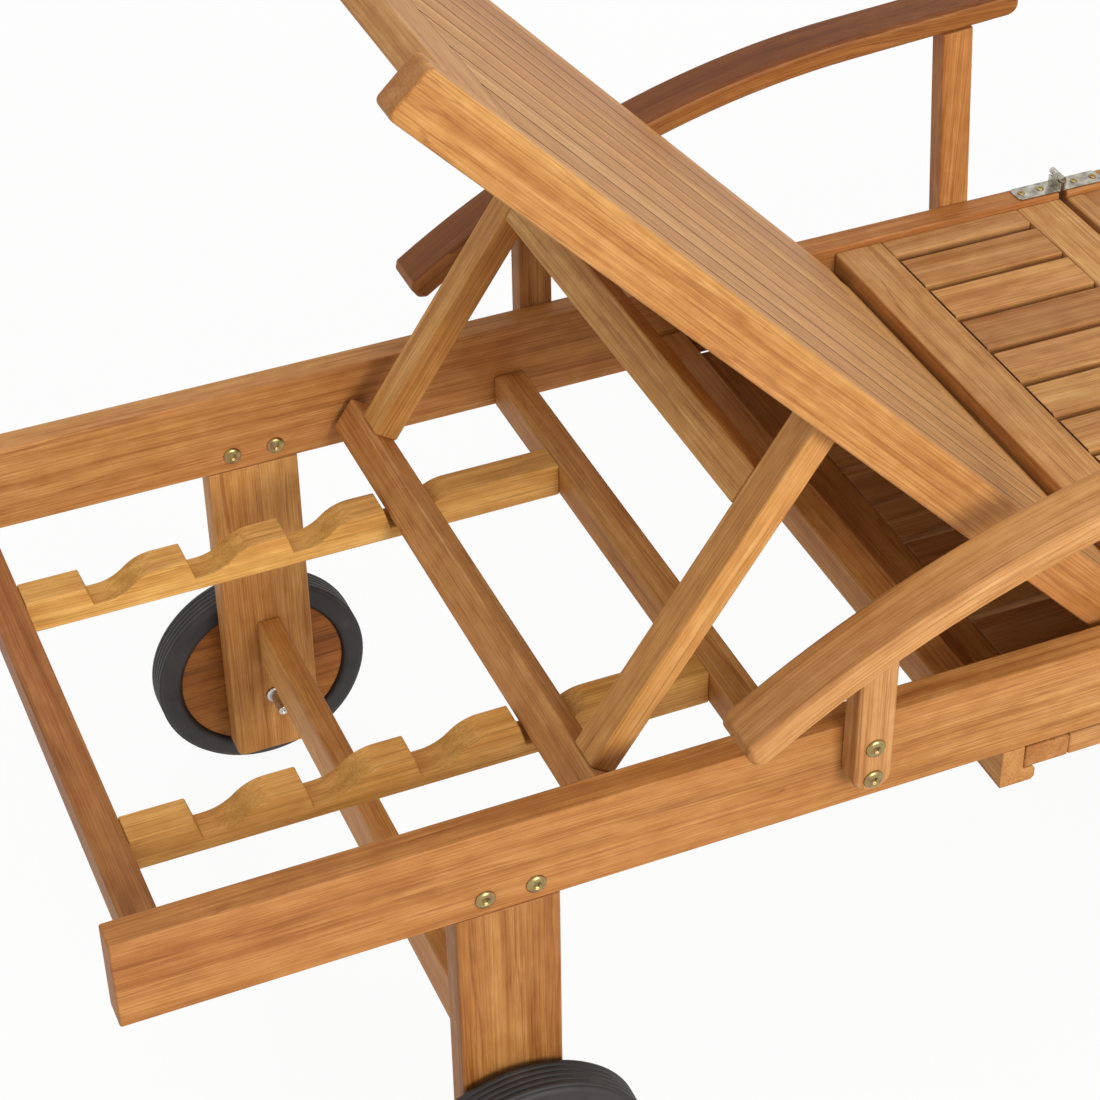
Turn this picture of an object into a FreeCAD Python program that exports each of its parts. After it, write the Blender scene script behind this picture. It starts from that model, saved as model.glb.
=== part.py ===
import FreeCAD, Part
import math
import os
import re
import types

import Sketcher

# Folding teak sun lounger on two wheels: a slatted back that tilts on a toothed rack, a seat with
# curved armrests, a foot section that folds over on two raised hinges and a tray that slides out.
# Frame: +X to the foot end, x = 0 half way along, y = 0 on the centreline (the near side is -Y),
# z = 0 on the ground. Millimetres. The pieces are laid out from the head end of the side rails
# and the finished lounger is then centred.

os.makedirs("parts", exist_ok=True)
doc = FreeCAD.newDocument("sun_lounger")
Vector = FreeCAD.Vector
Rotation = FreeCAD.Rotation
Placement = FreeCAD.Placement

# ---------------------------------------------------------------- driving dimensions
DIMENSIONS = [
    ("frame_width", 600, "outside width over the side rails"),
    ("rail_thick", 25, "side rail, thickness"),
    ("rail_deep", 77, "side rail, height"),
    ("rail_top", 431, "height of the rail tops over the ground"),
    ("head_rail_long", 1068.5, "side rail of the head section, length"),
    ("foot_rail_long", 824, "side rail of the foot section, length"),
    ("fold_gap", 7, "gap between head and foot rails at the fold"),
    ("foot_inset", 0.75, "how far the foot section stands in from the posts"),
    ("edge_ease", 2.8, "eased board edge, width of its bevel"),
    ("fine_ease", 1.8, "eased edge of a slat or small piece"),
    ("end_ease", 6.5, "eased corner of a side rail's free end"),
    ("cross_wide", 27, "cross rail, width"),
    ("cross_deep", 30, "cross rail, height"),
    ("head_cross_at", 22.5, "head cross rail, from the head end"),
    ("rack_cross_to_fold", 564.5, "cross rail at the end of the racks, to the rail's fold end"),
    ("pivot_cross_to_fold", 410.5, "cross rail below the back's pivot, to the rail's fold end"),
    ("rack_thick", 28, "rack, thickness"),
    ("rack_apart", 290, "racks, centre to centre"),
    ("notch_first_at", 98.5, "wall of the first notch, from the head end"),
    ("notch_apart", 83.5, "notch to notch"),
    ("notch_deep", 18.5, "notch depth"),
    ("notch_wall_run", 5, "how far the notch wall leans"),
    ("notch_floor", 7, "flat floor of a notch"),
    ("notch_ramp_run", 49, "length of the curved ramp out of a notch"),
    ("leg_wide", 80, "leg, width"),
    ("leg_thick", 25, "leg, thickness"),
    ("leg_foot_ease", 4, "eased foot corner of a leg"),
    ("wheel_leg_at", 241.5, "wheel legs, from the head end"),
    ("wheel_leg_long", 320, "wheel leg, length below the rail"),
    ("mid_leg_inset", 1.5, "legs at the fold, in from the rail's end"),
    ("foot_leg_inset", 31, "foot legs, in from the foot end"),
    ("tenon_wide", 60, "leg tenon, width"),
    ("tenon_thick", 9, "leg tenon, thickness"),
    ("tenon_long", 34, "leg tenon, length up into the rail"),
    ("stretcher_thick", 21, "stretcher between legs, thickness"),
    ("stretcher_deep", 50, "stretcher between legs, height"),
    ("stretcher_over_axle", 37, "stretchers' underside over the wheel axle"),
    ("bolt_radius", 3, "bolt shank radius"),
    ("bolt_slack", 0.3, "clearance round a bolt"),
    ("bolt_head_radius", 7.8, "flat bolt head, radius"),
    ("bolt_head_high", 2.6, "flat bolt head, height"),
    ("leg_bolt_in", 22.5, "first leg bolt, in from the leg's edge"),
    ("leg_bolt_apart", 38.5, "leg bolts, centre to centre"),
    ("leg_bolt_up", 15.5, "leg bolts above the rail's underside"),
    ("post_bolt_apart", 29.5, "post bolts, centre to centre"),
    ("post_bolt_drop", 8, "upper post bolt below the rail top"),
    ("post_wide", 30, "armrest post, width"),
    ("post_thick", 22, "armrest post, thickness"),
    ("post_below", 48, "post end below the rail top"),
    ("post_end_round", 12, "rounding of the post's lower end"),
    ("rear_post_to_fold", 528, "rear post, to the rail's fold end"),
    ("front_post_to_fold", 113, "front post at rail height, to the rail's fold end"),
    ("front_post_lean", 3.2, "backward lean of the front post, degrees"),
    ("arm_wide", 46, "armrest, width"),
    ("arm_thick", 22, "armrest, thickness"),
    ("arm_ease", 3.6, "eased edge of the armrest"),
    ("arm_end_ease", 5.5, "eased corner of the armrest's rear end"),
    ("arm_inset", 0.5, "armrest's inner edge outside the rail's outer face"),
    ("arm_front_to_fold", 48, "front end of the armrest, to the rail's fold end"),
    ("arm_front_run", 166, "straight front part of the armrest"),
    ("arm_front_rise", 202, "armrest's top at its front end over the rail top"),
    ("arm_front_slope", 3.7, "slope of the straight front part, degrees"),
    ("arm_bend_radius", 820, "radius of the armrest's bend"),
    ("arm_bend_angle", 31.2, "turn of the armrest's bend, degrees"),
    ("seat_long", 233, "seat frame, length up to the rail's fold end"),
    ("seat_drop", 5, "seat surface below the rail top"),
    ("stile_wide", 46, "end stile of the seat and foot frames, width"),
    ("side_stile_wide", 26, "side stile of the seat and foot frames, width"),
    ("panel_thick", 22, "stiles, thickness"),
    ("slat_gap", 7.5, "gap between seat slats"),
    ("slat_thick", 18, "slat, thickness"),
    ("slat_margin", 9.75, "gap between the outer slats and the side stiles"),
    ("back_angle", 46, "tilt of the back as shown, degrees"),
    ("back_deep", 39, "side rail of the back, height"),
    ("back_rail_thick", 25, "side rail of the back, thickness"),
    ("back_side_gap", 9.3, "gap between the back and the side rails"),
    ("back_head_long", 805, "back, from its pivot to the head end"),
    ("pivot_to_seat", 26.9, "back's pivot, to the seat frame"),
    ("back_bottom_below", 15, "bottom stile's edge beyond the pivot"),
    ("back_bottom_wide", 41, "bottom stile of the back, width"),
    ("back_top_from", 719, "top stile's lower edge from the pivot"),
    ("back_top_wide", 64, "top stile of the back, width"),
    ("back_slat_margin", 1.25, "gap between the outer back slats and the back rails"),
    ("back_slat_gap", 2.6, "gap between back slats"),
    ("prop_pivot_up", 355.8, "prop pivot, along the back from the back's pivot"),
    ("prop_pivot_low", 10.5, "prop pivot below the back's mid height"),
    ("prop_thick", 22.3, "prop arm and foot bar, thickness"),
    ("prop_arm_wide", 31, "prop arm, width across the lounger"),
    ("prop_side_gap", 0.7, "gap between prop arm and back rail"),
    ("prop_bar_deep", 31.4, "foot bar, depth along the arms"),
    ("prop_bar_end_gap", 6, "foot bar, gap to the side rail at each end"),
    ("prop_tie_at", 232, "upper bar of the prop, from the foot bar's centre"),
    ("prop_tie_deep", 31, "upper bar of the prop, depth along the arms"),
    ("seat_notch", 3, "notches between the first and the one in use"),
    ("bar_from_wall", 21.8, "foot bar's centre from the notch wall"),
    ("bar_over_floor", 18.4, "foot bar's centre over the notch floor"),
    ("rack_slot_slack", 1.5, "clearance beside a rack in the foot bar"),
    ("rack_strap_along", 18, "wood left over a rack, along the arms"),
    ("rack_strap_across", 13.5, "wood left over a rack, across the arms"),
    ("pivot_radius", 4, "pivot bolt, radius"),
    ("pivot_clearance", 0.05, "running clearance round a pivot bolt"),
    ("washer_radius", 9, "washer, outer radius"),
    ("axle_nut_long", 27, "sleeve nut of the wheel axle, length"),
    ("axle_drop", 333, "wheel axle below the rail top"),
    ("axle_at", 280.5, "wheel axle, from the head end"),
    ("tyre_radius", 98, "tyre, outer radius"),
    ("tyre_wide", 32, "tyre, width"),
    ("wheel_radius", 77, "wooden wheel disc, radius"),
    ("wheel_thick", 24, "wooden wheel disc, thickness"),
    ("wheel_gap", 5, "gap between leg and tyre"),
    ("runner_leg_gap", 1.5, "gap between a tray runner and the legs at the fold"),
    ("runner_wide", 30, "tray runner, width"),
    ("runner_body_wide", 19, "tray runner, width above its lip"),
    ("runner_deep", 35.5, "tray runner, height"),
    ("runner_lip", 13.2, "tray runner's lip, height"),
    ("tray_wide", 266, "tray, width along the lounger"),
    ("tray_clearance", 1, "tray to runner at each side"),
    ("tray_float", 0.3, "tray above the runner's lip"),
    ("tray_thick", 20, "tray frame, thickness"),
    ("tray_bar_wide", 38, "side bar of the tray, width"),
    ("tray_end_wide", 40, "front and back bar of the tray, width"),
    ("tray_slat_gap", 8, "gap between tray slats"),
    ("tray_slat_thick", 14, "tray slat, thickness"),
    ("slat_count", 9, "slats in each panel"),
    ("hinge_leaf_long", 45, "fold hinge, leaf on the rail"),
    ("hinge_wide", 20, "fold hinge, width"),
    ("hinge_thick", 1.8, "fold hinge, plate thickness"),
    ("hinge_rise", 12, "fold hinge, pin above the rail top"),
    ("knuckle_radius", 3.2, "fold hinge, knuckle radius"),
    ("knuckle_mid", 8, "fold hinge, middle knuckle"),
    ("hinge_pin_radius", 1.5, "fold hinge, pin radius"),
    ("hinge_play", 0.3, "gap beside the knuckles"),
    ("screw_head_radius", 3.6, "hinge screw, head radius"),
    ("screw_shank_radius", 1.7, "hinge screw, shank radius"),
    ("screw_long", 16, "hinge screw, length"),
    ("screw_first", 7, "first screw from the leaf's end"),
    ("screw_head_high", 1.2, "hinge screw, head height"),
    ("screw_apart", 20, "hinge screws, centre to centre"),
]

# Sizes that follow from the ones above.
slats_between = "(slat_count - 1)"
DERIVED = [
    ("between_rails", "frame_width - 2*rail_thick", "clear width between the side rails"),
    ("slat_wide", f"(between_rails - 2*side_stile_wide - 2*slat_margin - {slats_between}*slat_gap)"
                  "/slat_count", "seat slat, width"),
    ("inside_back", "between_rails - 2*back_side_gap - 2*back_rail_thick", "clear width of the back"),
    ("back_slat_wide", f"(inside_back - 2*back_slat_margin - {slats_between}*back_slat_gap)/slat_count",
     "back slat, width"),
    ("mid_leg_at", "head_rail_long - mid_leg_inset - leg_wide", "legs at the fold, from the head end"),
    ("prop_bar_long", "between_rails - 2*prop_bar_end_gap", "foot bar, length"),
    ("rack_cross_at", "head_rail_long - rack_cross_to_fold", "rack cross rail, from the head end"),
    ("pivot_cross_at", "head_rail_long - pivot_cross_to_fold", "pivot cross rail, from the head end"),
    ("rear_post_at", "head_rail_long - rear_post_to_fold", "rear post, from the head end"),
    ("front_post_at", "head_rail_long - front_post_to_fold", "front post, from the head end"),
    ("arm_front_at", "head_rail_long - arm_front_to_fold", "armrest's front, from the head end"),
    ("seat_at", "head_rail_long - seat_long", "seat frame, from the head end"),
    ("pivot_at", "seat_at - pivot_to_seat", "back's pivot, from the head end"),
    ("tray_runner_at",
     "mid_leg_at - runner_leg_gap - 2*runner_body_wide - 2*tray_clearance - tray_wide",
     "head-side tray runner, from the head end"),
]

sheet = doc.addObject("Spreadsheet::Sheet", "sizes")
rows = DIMENSIONS + [(alias, "=" + formula, note) for alias, formula, note in DERIVED]
for row, (alias, content, note) in enumerate(rows, start=1):
    sheet.set(f"A{row}", note)
    sheet.set(f"B{row}", str(content))
    sheet.setAlias(f"B{row}", alias)
doc.recompute()
size = types.SimpleNamespace(**{alias: float(sheet.get(alias)) for alias, _, _ in rows})

nodes = []


# ---------------------------------------------------------------- helpers
TOUCH = 1e-6  # places closer than this are the same


def bind(feature, prop, formula):
    """Binds a property to a formula of the sheet's aliases."""
    feature.setExpression(prop, re.sub(r"[a-z]\w*", lambda word: "sizes." + word.group(0), formula))


def new_body(name, exported=True):
    body = doc.addObject("PartDesign::Body", name)
    body.Label = name
    if exported:
        nodes.append(body)
    return body


def new_sketch(body, role, name):
    plane = next(item for item in body.Origin.OriginFeatures if item.Role == role)
    sketch = body.newObject("Sketcher::SketchObject", name)
    sketch.AttachmentSupport = [(plane, "")]
    sketch.MapMode = "FlatFace"
    return sketch


DRAWN = 10  # side a rectangle is first drawn with, before its formulas size it


def rectangle(sketch, width, height, centred=False):
    """A rectangle with its first corner (or its centre) at the sketch's origin, sized by formulas."""
    corners = [Vector(0, 0), Vector(DRAWN, 0), Vector(DRAWN, DRAWN), Vector(0, DRAWN)]
    for start, end in zip(corners, corners[1:] + corners[:1]):
        sketch.addGeometry(Part.LineSegment(start, end), False)
    for side in range(4):
        sketch.addConstraint(Sketcher.Constraint("Coincident", side, 2, (side + 1) % 4, 1))
    for side, kind in enumerate(("Horizontal", "Vertical", "Horizontal", "Vertical")):
        sketch.addConstraint(Sketcher.Constraint(kind, side))
    if centred:
        sketch.addConstraint(Sketcher.Constraint("Symmetric", 0, 1, 2, 1, -1, 1))
    else:
        sketch.addConstraint(Sketcher.Constraint("Coincident", 0, 1, -1, 1))
    for name, side, kind, formula in (("across", 0, "DistanceX", width), ("up", 1, "DistanceY", height)):
        index = sketch.addConstraint(Sketcher.Constraint(kind, side, 1, side, 2, 10))
        sketch.renameConstraint(index, name)
        bind(sketch, f"Constraints.{name}", formula)


def outline(sketch, curves):
    for curve in curves:
        sketch.addGeometry(curve, False)


def polygon(points):
    """Closed outline through (x, y) points, as line segments."""
    ring = [Vector(x, y) for x, y in points]
    return [Part.LineSegment(start, end) for start, end in zip(ring, ring[1:] + ring[:1])]


def arc_through(start, middle, end):
    return Part.Arc(Vector(*start), Vector(*middle), Vector(*end))


def pad(body, sketch, length, name="board", midplane=False):
    feature = body.newObject("PartDesign::Pad", name)
    feature.Profile = sketch
    bind(feature, "Length", length)
    feature.Midplane = midplane
    doc.recompute()
    return feature


def pocket_through(body, sketch, name):
    feature = body.newObject("PartDesign::Pocket", name)
    feature.Profile = sketch
    feature.Type = "ThroughAll"
    feature.Midplane = True
    doc.recompute()
    return feature


def edges_where(feature, test):
    return [f"Edge{i}" for i, edge in enumerate(feature.Shape.Edges, start=1) if test(edge)]


def runs_along(direction):
    """Test for straight edges that run along a direction."""
    def test(edge):
        straight = edge.Curve.TypeId == "Part::GeomLine"
        return straight and edge.tangentAt(edge.FirstParameter).cross(direction).Length < TOUCH
    return test


def in_side_face(spare_x=None):
    """Test for edges of the faces to -Y and +Y, but not those at x = spare_x."""
    def test(edge):
        spared = spare_x is not None and abs(edge.CenterOfMass.x - spare_x) < TOUCH
        return not runs_along(ALONG["Y"])(edge) and not spared
    return test


def on_top(height):
    """Test for edges that lie in the plane z = height."""
    def test(edge):
        return all(abs(vertex.Z - height) < TOUCH for vertex in edge.Vertexes)
    return test


def ease_edges(body, feature, edges, width, name="easing"):
    """Takes the sharpness off edges with a narrow bevel, as a pass of the plane does."""
    bevel = body.newObject("PartDesign::Chamfer", name)
    bevel.Base = (feature, edges)
    bind(bevel, "Size", width)
    doc.recompute()
    return bevel


# Small metal pieces and their plain holes are drawn with flat sides, which keeps what repeats light.
HEAD_SIDES = 12
SHANK_SIDES = 6


def flat_sided(radius, sides, centre=(0, 0), bore=False):
    """A regular outline inside a radius, or for a bore round it, so that a shank turns freely in it."""
    reach = radius / math.cos(math.pi / sides) if bore else radius
    turns = [2 * math.pi * k / sides for k in range(sides)]
    return polygon([(centre[0] + reach * math.cos(turn), centre[1] + reach * math.sin(turn))
                    for turn in turns])


def bolt_holes(body, centres, radius, role="XZ_Plane", name="bolt_holes", sides=SHANK_SIDES):
    """Flat-sided through holes for fixed bolts at points of an origin plane."""
    sketch = new_sketch(body, role, name + "_sketch")
    for centre in centres:
        outline(sketch, flat_sided(radius, sides, centre, bore=True))
    return pocket_through(body, sketch, name)


def stack(name, steps, exported=False):
    """A body of flat-sided discs along its own Y axis, from (sides, radius, from y, to y) steps."""
    body = new_body(name, exported)
    for index, (sides, radius, start, end) in enumerate(steps):
        section = new_sketch(body, "XZ_Plane", f"section_{index}")
        section.AttachmentOffset = Placement(Vector(0, 0, -(start + end) / 2), Rotation())
        outline(section, flat_sided(radius, sides))
        disc = body.newObject("PartDesign::Pad", f"disc_{index}")
        disc.Profile = section
        disc.Length = end - start
        disc.Midplane = True
        doc.recompute()
    return body


def drill(body, centres, radius, role="XZ_Plane", name="holes"):
    """Round through holes at points of an origin plane."""
    sketch = new_sketch(body, role, name + "_sketch")
    for index, centre in enumerate(centres):
        sketch.addGeometry(Part.Circle(Vector(*centre), Vector(0, 0, 1), 1), False)
        constraint = sketch.addConstraint(Sketcher.Constraint("Radius", index, 1))
        sketch.renameConstraint(constraint, f"hole_{index}")
        bind(sketch, f"Constraints.hole_{index}", radius)
        sketch.addConstraint(Sketcher.Constraint("DistanceX", -1, 1, index, 3, centre[0]))
        sketch.addConstraint(Sketcher.Constraint("DistanceY", -1, 1, index, 3, centre[1]))
    return pocket_through(body, sketch, name)


ALONG = {"X": Vector(1, 0, 0), "Y": Vector(0, 1, 0), "Z": Vector(0, 0, 1)}


def repeat(body, section, features, axis, pitch, count):
    """Repeats features along a sketch axis, at a pitch given by a formula."""
    row = body.newObject("PartDesign::LinearPattern", "row")
    row.Originals = features
    row.Direction = (section, [axis])
    row.Mode = "Spacing"
    bind(row, "Offset", pitch)
    row.Occurrences = count
    body.Tip = row


def board(name, sizes, corner, grain, ease="edge_ease", twin=None):
    """A board, x, y and z sizes as formulas, at its lowest corner and eased along its grain.

    twin is (sketch axis, pitch formula) for a second equal board in the same node."""
    body = new_body(name)
    section = new_sketch(body, "XY_Plane", "outline")
    rectangle(section, sizes[0], sizes[1])
    blank = pad(body, section, sizes[2])
    eased = ease_edges(body, blank, edges_where(blank, runs_along(ALONG[grain])), ease)
    if twin:
        repeat(body, section, [blank, eased], twin[0], twin[1], 2)
    body.Placement.Base = Vector(*corner)
    return body


def slat_row(name, sizes, pitch, corner):
    """Equal slats side by side: separate solids along Y, their upper edges eased."""
    body = new_body(name)
    section = new_sketch(body, "XY_Plane", "outline")
    rectangle(section, sizes[0], sizes[1])
    blank = pad(body, section, sizes[2])
    top = blank.Shape.BoundBox.ZMax
    eased = ease_edges(body, blank, edges_where(blank, on_top(top)), "fine_ease")
    repeat(body, section, [blank, eased], "V_Axis", pitch, int(size.slat_count))
    body.Placement.Base = Vector(*corner)
    return body


def turned_ring(name, inner, outer, half_wide):
    """A ring turned about its own Y axis."""
    body = new_body(name)
    sketch = new_sketch(body, "XY_Plane", "profile")
    outline(sketch, polygon([(inner, -half_wide), (outer, -half_wide), (outer, half_wide),
                             (inner, half_wide)]))
    turn = body.newObject("PartDesign::Revolution", "turned")
    turn.Profile = sketch
    turn.ReferenceAxis = (sketch, ["V_Axis"])
    turn.Angle = 360
    doc.recompute()
    return body


def group(name, pattern, placements):
    """A node of identical pieces: copies of one finished body."""
    doc.recompute()
    feature = doc.addObject("Part::Feature", name)
    feature.Label = name
    copies = []
    for placement in placements:
        copy = pattern.Shape.copy()
        copy.Placement = placement
        copies.append(copy)
    feature.Shape = Part.makeCompound(copies)
    nodes.append(feature)
    return feature


SIDES = (("near", -1), ("far", 1))
half_width = size.frame_width / 2
rail_bottom = size.rail_top - size.rail_deep
fold_x = size.head_rail_long + size.fold_gap / 2
foot_start = size.head_rail_long + size.fold_gap
foot_end = foot_start + size.foot_rail_long
foot_leg_at = foot_end - size.foot_leg_inset - size.leg_wide
seat_level = size.rail_top - size.seat_drop


def rail_middle(side, inset=0.0):
    """y of a side rail's mid plane."""
    return side * (half_width - inset - size.rail_thick / 2)


# ---------------------------------------------------------------- side rails
def leg_bolt_points(leg_at, start):
    """Leg bolt centres in a rail's own x, z."""
    first = leg_at - start + size.leg_bolt_in
    return [(first, size.leg_bolt_up), (first + size.leg_bolt_apart, size.leg_bolt_up)]


def mortise(body, leg_at, start, name):
    """Slot in the rail's underside for a leg's tenon."""
    sketch = new_sketch(body, "XZ_Plane", name + "_sketch")
    left = leg_at - start + (size.leg_wide - size.tenon_wide) / 2
    right = left + size.tenon_wide
    outline(sketch, polygon([(left, 0), (right, 0), (right, size.tenon_long), (left, size.tenon_long)]))
    cut = body.newObject("PartDesign::Pocket", name)
    cut.Profile = sketch
    cut.Midplane = True
    bind(cut, "Length", "tenon_thick")
    doc.recompute()
    return cut


def side_rail(name, long, start, side, inset, leg_places, holes, head_end_free):
    body = new_body(name)
    section = new_sketch(body, "XZ_Plane", "outline")
    rectangle(section, long, "rail_deep")
    blank = pad(body, section, "rail_thick", midplane=True)
    box = blank.Shape.BoundBox
    free_x, butt_x = (box.XMin, box.XMax) if head_end_free else (box.XMax, box.XMin)
    corners = edges_where(blank, lambda edge: runs_along(ALONG["Y"])(edge)
                          and abs(edge.CenterOfMass.x - free_x) < TOUCH)
    eased = ease_edges(body, blank, corners, "end_ease", "eased_end")
    ease_edges(body, eased, edges_where(eased, in_side_face(butt_x)), "edge_ease")
    for index, leg_at in enumerate(leg_places):
        mortise(body, leg_at, start, f"mortise_{index}")
    bolt_holes(body, holes, size.bolt_radius + size.bolt_slack)
    body.Placement.Base = Vector(start, rail_middle(side, inset), rail_bottom)
    return body


front_post_centre = size.front_post_at + size.post_wide / 2
upper_bolt_z = size.rail_deep - size.post_bolt_drop
lower_bolt_z = upper_bolt_z - size.post_bolt_apart
lean = math.tan(math.radians(size.front_post_lean))
post_bolt_points = [
    (size.rear_post_at + size.post_wide / 2, upper_bolt_z),
    (size.rear_post_at + size.post_wide / 2, lower_bolt_z),
    (front_post_centre + lean * size.post_bolt_drop, upper_bolt_z),
    (front_post_centre + lean * (size.post_bolt_drop + size.post_bolt_apart), lower_bolt_z),
]
pivot_z = seat_level - size.back_deep / 2
head_leg_points = leg_bolt_points(size.wheel_leg_at, 0) + leg_bolt_points(size.mid_leg_at, 0)

for word, side in SIDES:
    rail = side_rail(f"rail_{word}", "head_rail_long", 0, side, 0,
                     (size.wheel_leg_at, size.mid_leg_at), head_leg_points + post_bolt_points, True)
    bolt_holes(rail, [(size.pivot_at, pivot_z - rail_bottom)], size.pivot_radius + size.bolt_slack,
               name="pivot_hole", sides=HEAD_SIDES)
    side_rail(f"foot_rail_{word}", "foot_rail_long", foot_start, side, size.foot_inset,
              (foot_leg_at,), leg_bolt_points(foot_leg_at, foot_start), False)

# ---------------------------------------------------------------- cross rails between the rails
for name, at in (("head_cross_rail", size.head_cross_at), ("rack_cross_rail", size.rack_cross_at),
                 ("pivot_cross_rail", size.pivot_cross_at)):
    board(name, ("cross_wide", "between_rails", "cross_deep"),
          (at, -size.between_rails / 2, rail_bottom), "Y", "fine_ease")

# ---------------------------------------------------------------- toothed racks for the prop
rack_start = size.head_cross_at + size.cross_wide


def notch_curves():
    """One notch in the rack's own x, z: leaning wall, floor and an S-shaped ramp of two arcs."""
    wall = size.notch_first_at - rack_start
    top = size.cross_deep
    floor = top - size.notch_deep
    floor_start = wall + size.notch_wall_run
    ramp_start = floor_start + size.notch_floor
    ramp_end = ramp_start + size.notch_ramp_run
    half_run = size.notch_ramp_run / 2
    half_rise = size.notch_deep / 2
    radius = (half_run ** 2 + half_rise ** 2) / (2 * half_rise)
    quarter = math.asin(half_run / radius) / 2
    across = radius * math.sin(quarter)
    drop = radius * (1 - math.cos(quarter))
    middle = (ramp_start + half_run, floor + half_rise)
    return [
        Part.LineSegment(Vector(wall, top), Vector(floor_start, floor)),
        Part.LineSegment(Vector(floor_start, floor), Vector(ramp_start, floor)),
        arc_through((ramp_start, floor), (ramp_start + across, floor + drop), middle),
        arc_through(middle, (ramp_end - across, top - drop), (ramp_end, top)),
        Part.LineSegment(Vector(ramp_end, top), Vector(wall, top)),
    ]


for word, side in SIDES:
    rack = new_body(f"rack_{word}")
    blank_sketch = new_sketch(rack, "XZ_Plane", "outline")
    rectangle(blank_sketch, "rack_cross_at - head_cross_at - cross_wide", "cross_deep")
    pad(rack, blank_sketch, "rack_thick", midplane=True)
    notch_sketch = new_sketch(rack, "XZ_Plane", "notch_outline")
    outline(notch_sketch, notch_curves())
    notch = pocket_through(rack, notch_sketch, "notch")
    repeat(rack, blank_sketch, [notch], "H_Axis", "notch_apart", int(size.seat_notch) + 1)
    rack.Placement.Base = Vector(rack_start, side * size.rack_apart / 2, rail_bottom)

# ---------------------------------------------------------------- legs and stretchers
def leg(name, at, bottom, axle_hole=False, exported=True):
    """A leg with a tenon up into the rail; its own origin is at the tenon's foot."""
    long = rail_bottom - bottom
    body = new_body(name, exported)
    section = new_sketch(body, "XZ_Plane", "outline")
    outline(section, polygon([(0, -long), (size.leg_wide, -long), (size.leg_wide, 0), (0, 0)]))
    blank = pad(body, section, "leg_thick", midplane=True)
    foot = edges_where(blank, lambda edge: runs_along(ALONG["Y"])(edge)
                       and edge.CenterOfMass.z < -long / 2)
    eased = ease_edges(body, blank, foot, "leg_foot_ease", "eased_foot")
    ease_edges(body, eased, edges_where(eased, runs_along(ALONG["Z"])), "fine_ease")
    left = (size.leg_wide - size.tenon_wide) / 2
    right = left + size.tenon_wide
    root = -size.tenon_thick
    tenon_sketch = new_sketch(body, "XZ_Plane", "tenon_outline")
    outline(tenon_sketch, polygon([(left, root), (right, root), (right, size.tenon_long),
                                   (left, size.tenon_long)]))
    pad(body, tenon_sketch, "tenon_thick", "tenon", midplane=True)
    bolt_holes(body, leg_bolt_points(0, 0), size.bolt_radius + size.bolt_slack)
    if axle_hole:
        bolt_holes(body, [(size.axle_at - at, size.rail_top - size.axle_drop - rail_bottom)],
                   size.pivot_radius + size.bolt_slack, name="axle_hole", sides=HEAD_SIDES)
    body.Placement.Base = Vector(at, 0, rail_bottom)
    return body


def both_sides(name, pattern, x, y, z):
    """A node of two equal pieces, one at each side of the lounger."""
    return group(name, pattern, [Placement(Vector(x, side * y, z), Rotation()) for _, side in SIDES])


wheel_leg_bottom = rail_bottom - size.wheel_leg_long
for word, side in SIDES:
    wheel_leg = leg(f"wheel_leg_{word}", size.wheel_leg_at, wheel_leg_bottom, axle_hole=True)
    wheel_leg.Placement.Base.y = rail_middle(side)
both_sides("mid_legs", leg("mid_leg", size.mid_leg_at, 0, exported=False),
           size.mid_leg_at, rail_middle(1), rail_bottom)
both_sides("foot_legs", leg("foot_leg", foot_leg_at, 0, exported=False),
           foot_leg_at, rail_middle(1, size.foot_inset), rail_bottom)

stretcher_z = size.rail_top - size.axle_drop + size.stretcher_over_axle
for name, at, inset in (("wheel_stretcher", size.wheel_leg_at, 0), ("mid_stretcher", size.mid_leg_at, 0),
                        ("foot_stretcher", foot_leg_at, size.foot_inset)):
    breadth = "frame_width - 2*leg_thick" + (" - 2*foot_inset" if inset else "")
    board(name, ("stretcher_thick", breadth, "stretcher_deep"),
          (at + (size.leg_wide - size.stretcher_thick) / 2, -half_width + size.leg_thick + inset,
           stretcher_z), "Y")


# ---------------------------------------------------------------- seat and foot panels
def panel(prefix, start, inset, inner_long):
    """End stiles across, side stiles and a row of slats between them, level with the seat."""
    low = seat_level - size.panel_thick
    inner_wide = "between_rails" + (" - 2*foot_inset" if inset else "")
    edge = -size.between_rails / 2 + inset
    board(f"{prefix}_end_stiles", ("stile_wide", inner_wide, "panel_thick"), (start, edge, low),
          "Y", "fine_ease", ("H_Axis", f"{inner_long} + stile_wide"))
    inside = start + size.stile_wide
    board(f"{prefix}_side_stiles", (inner_long, "side_stile_wide", "panel_thick"),
          (inside, edge, low), "X", "fine_ease", ("V_Axis", f"{inner_wide} - side_stile_wide"))
    row_wide = size.slat_count * (size.slat_wide + size.slat_gap) - size.slat_gap
    slat_row(f"{prefix}_slats", (inner_long, "slat_wide", "slat_thick"), "slat_wide + slat_gap",
             (inside, -row_wide / 2, seat_level - size.slat_thick))


panel("seat", size.seat_at, 0, "seat_long - 2*stile_wide")
panel("foot", foot_start, size.foot_inset, "foot_rail_long - 2*stile_wide")

# ---------------------------------------------------------------- armrests and their posts
bend = math.radians(size.arm_bend_angle)
slope = math.radians(size.arm_front_slope)
arm_top = size.rail_top + size.arm_front_rise
bend_start = (size.arm_front_at - size.arm_front_run * math.cos(slope),
              arm_top - size.arm_front_run * math.sin(slope))
bend_centre = (bend_start[0] + size.arm_bend_radius * math.sin(slope),
               bend_start[1] - size.arm_bend_radius * math.cos(slope))


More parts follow.
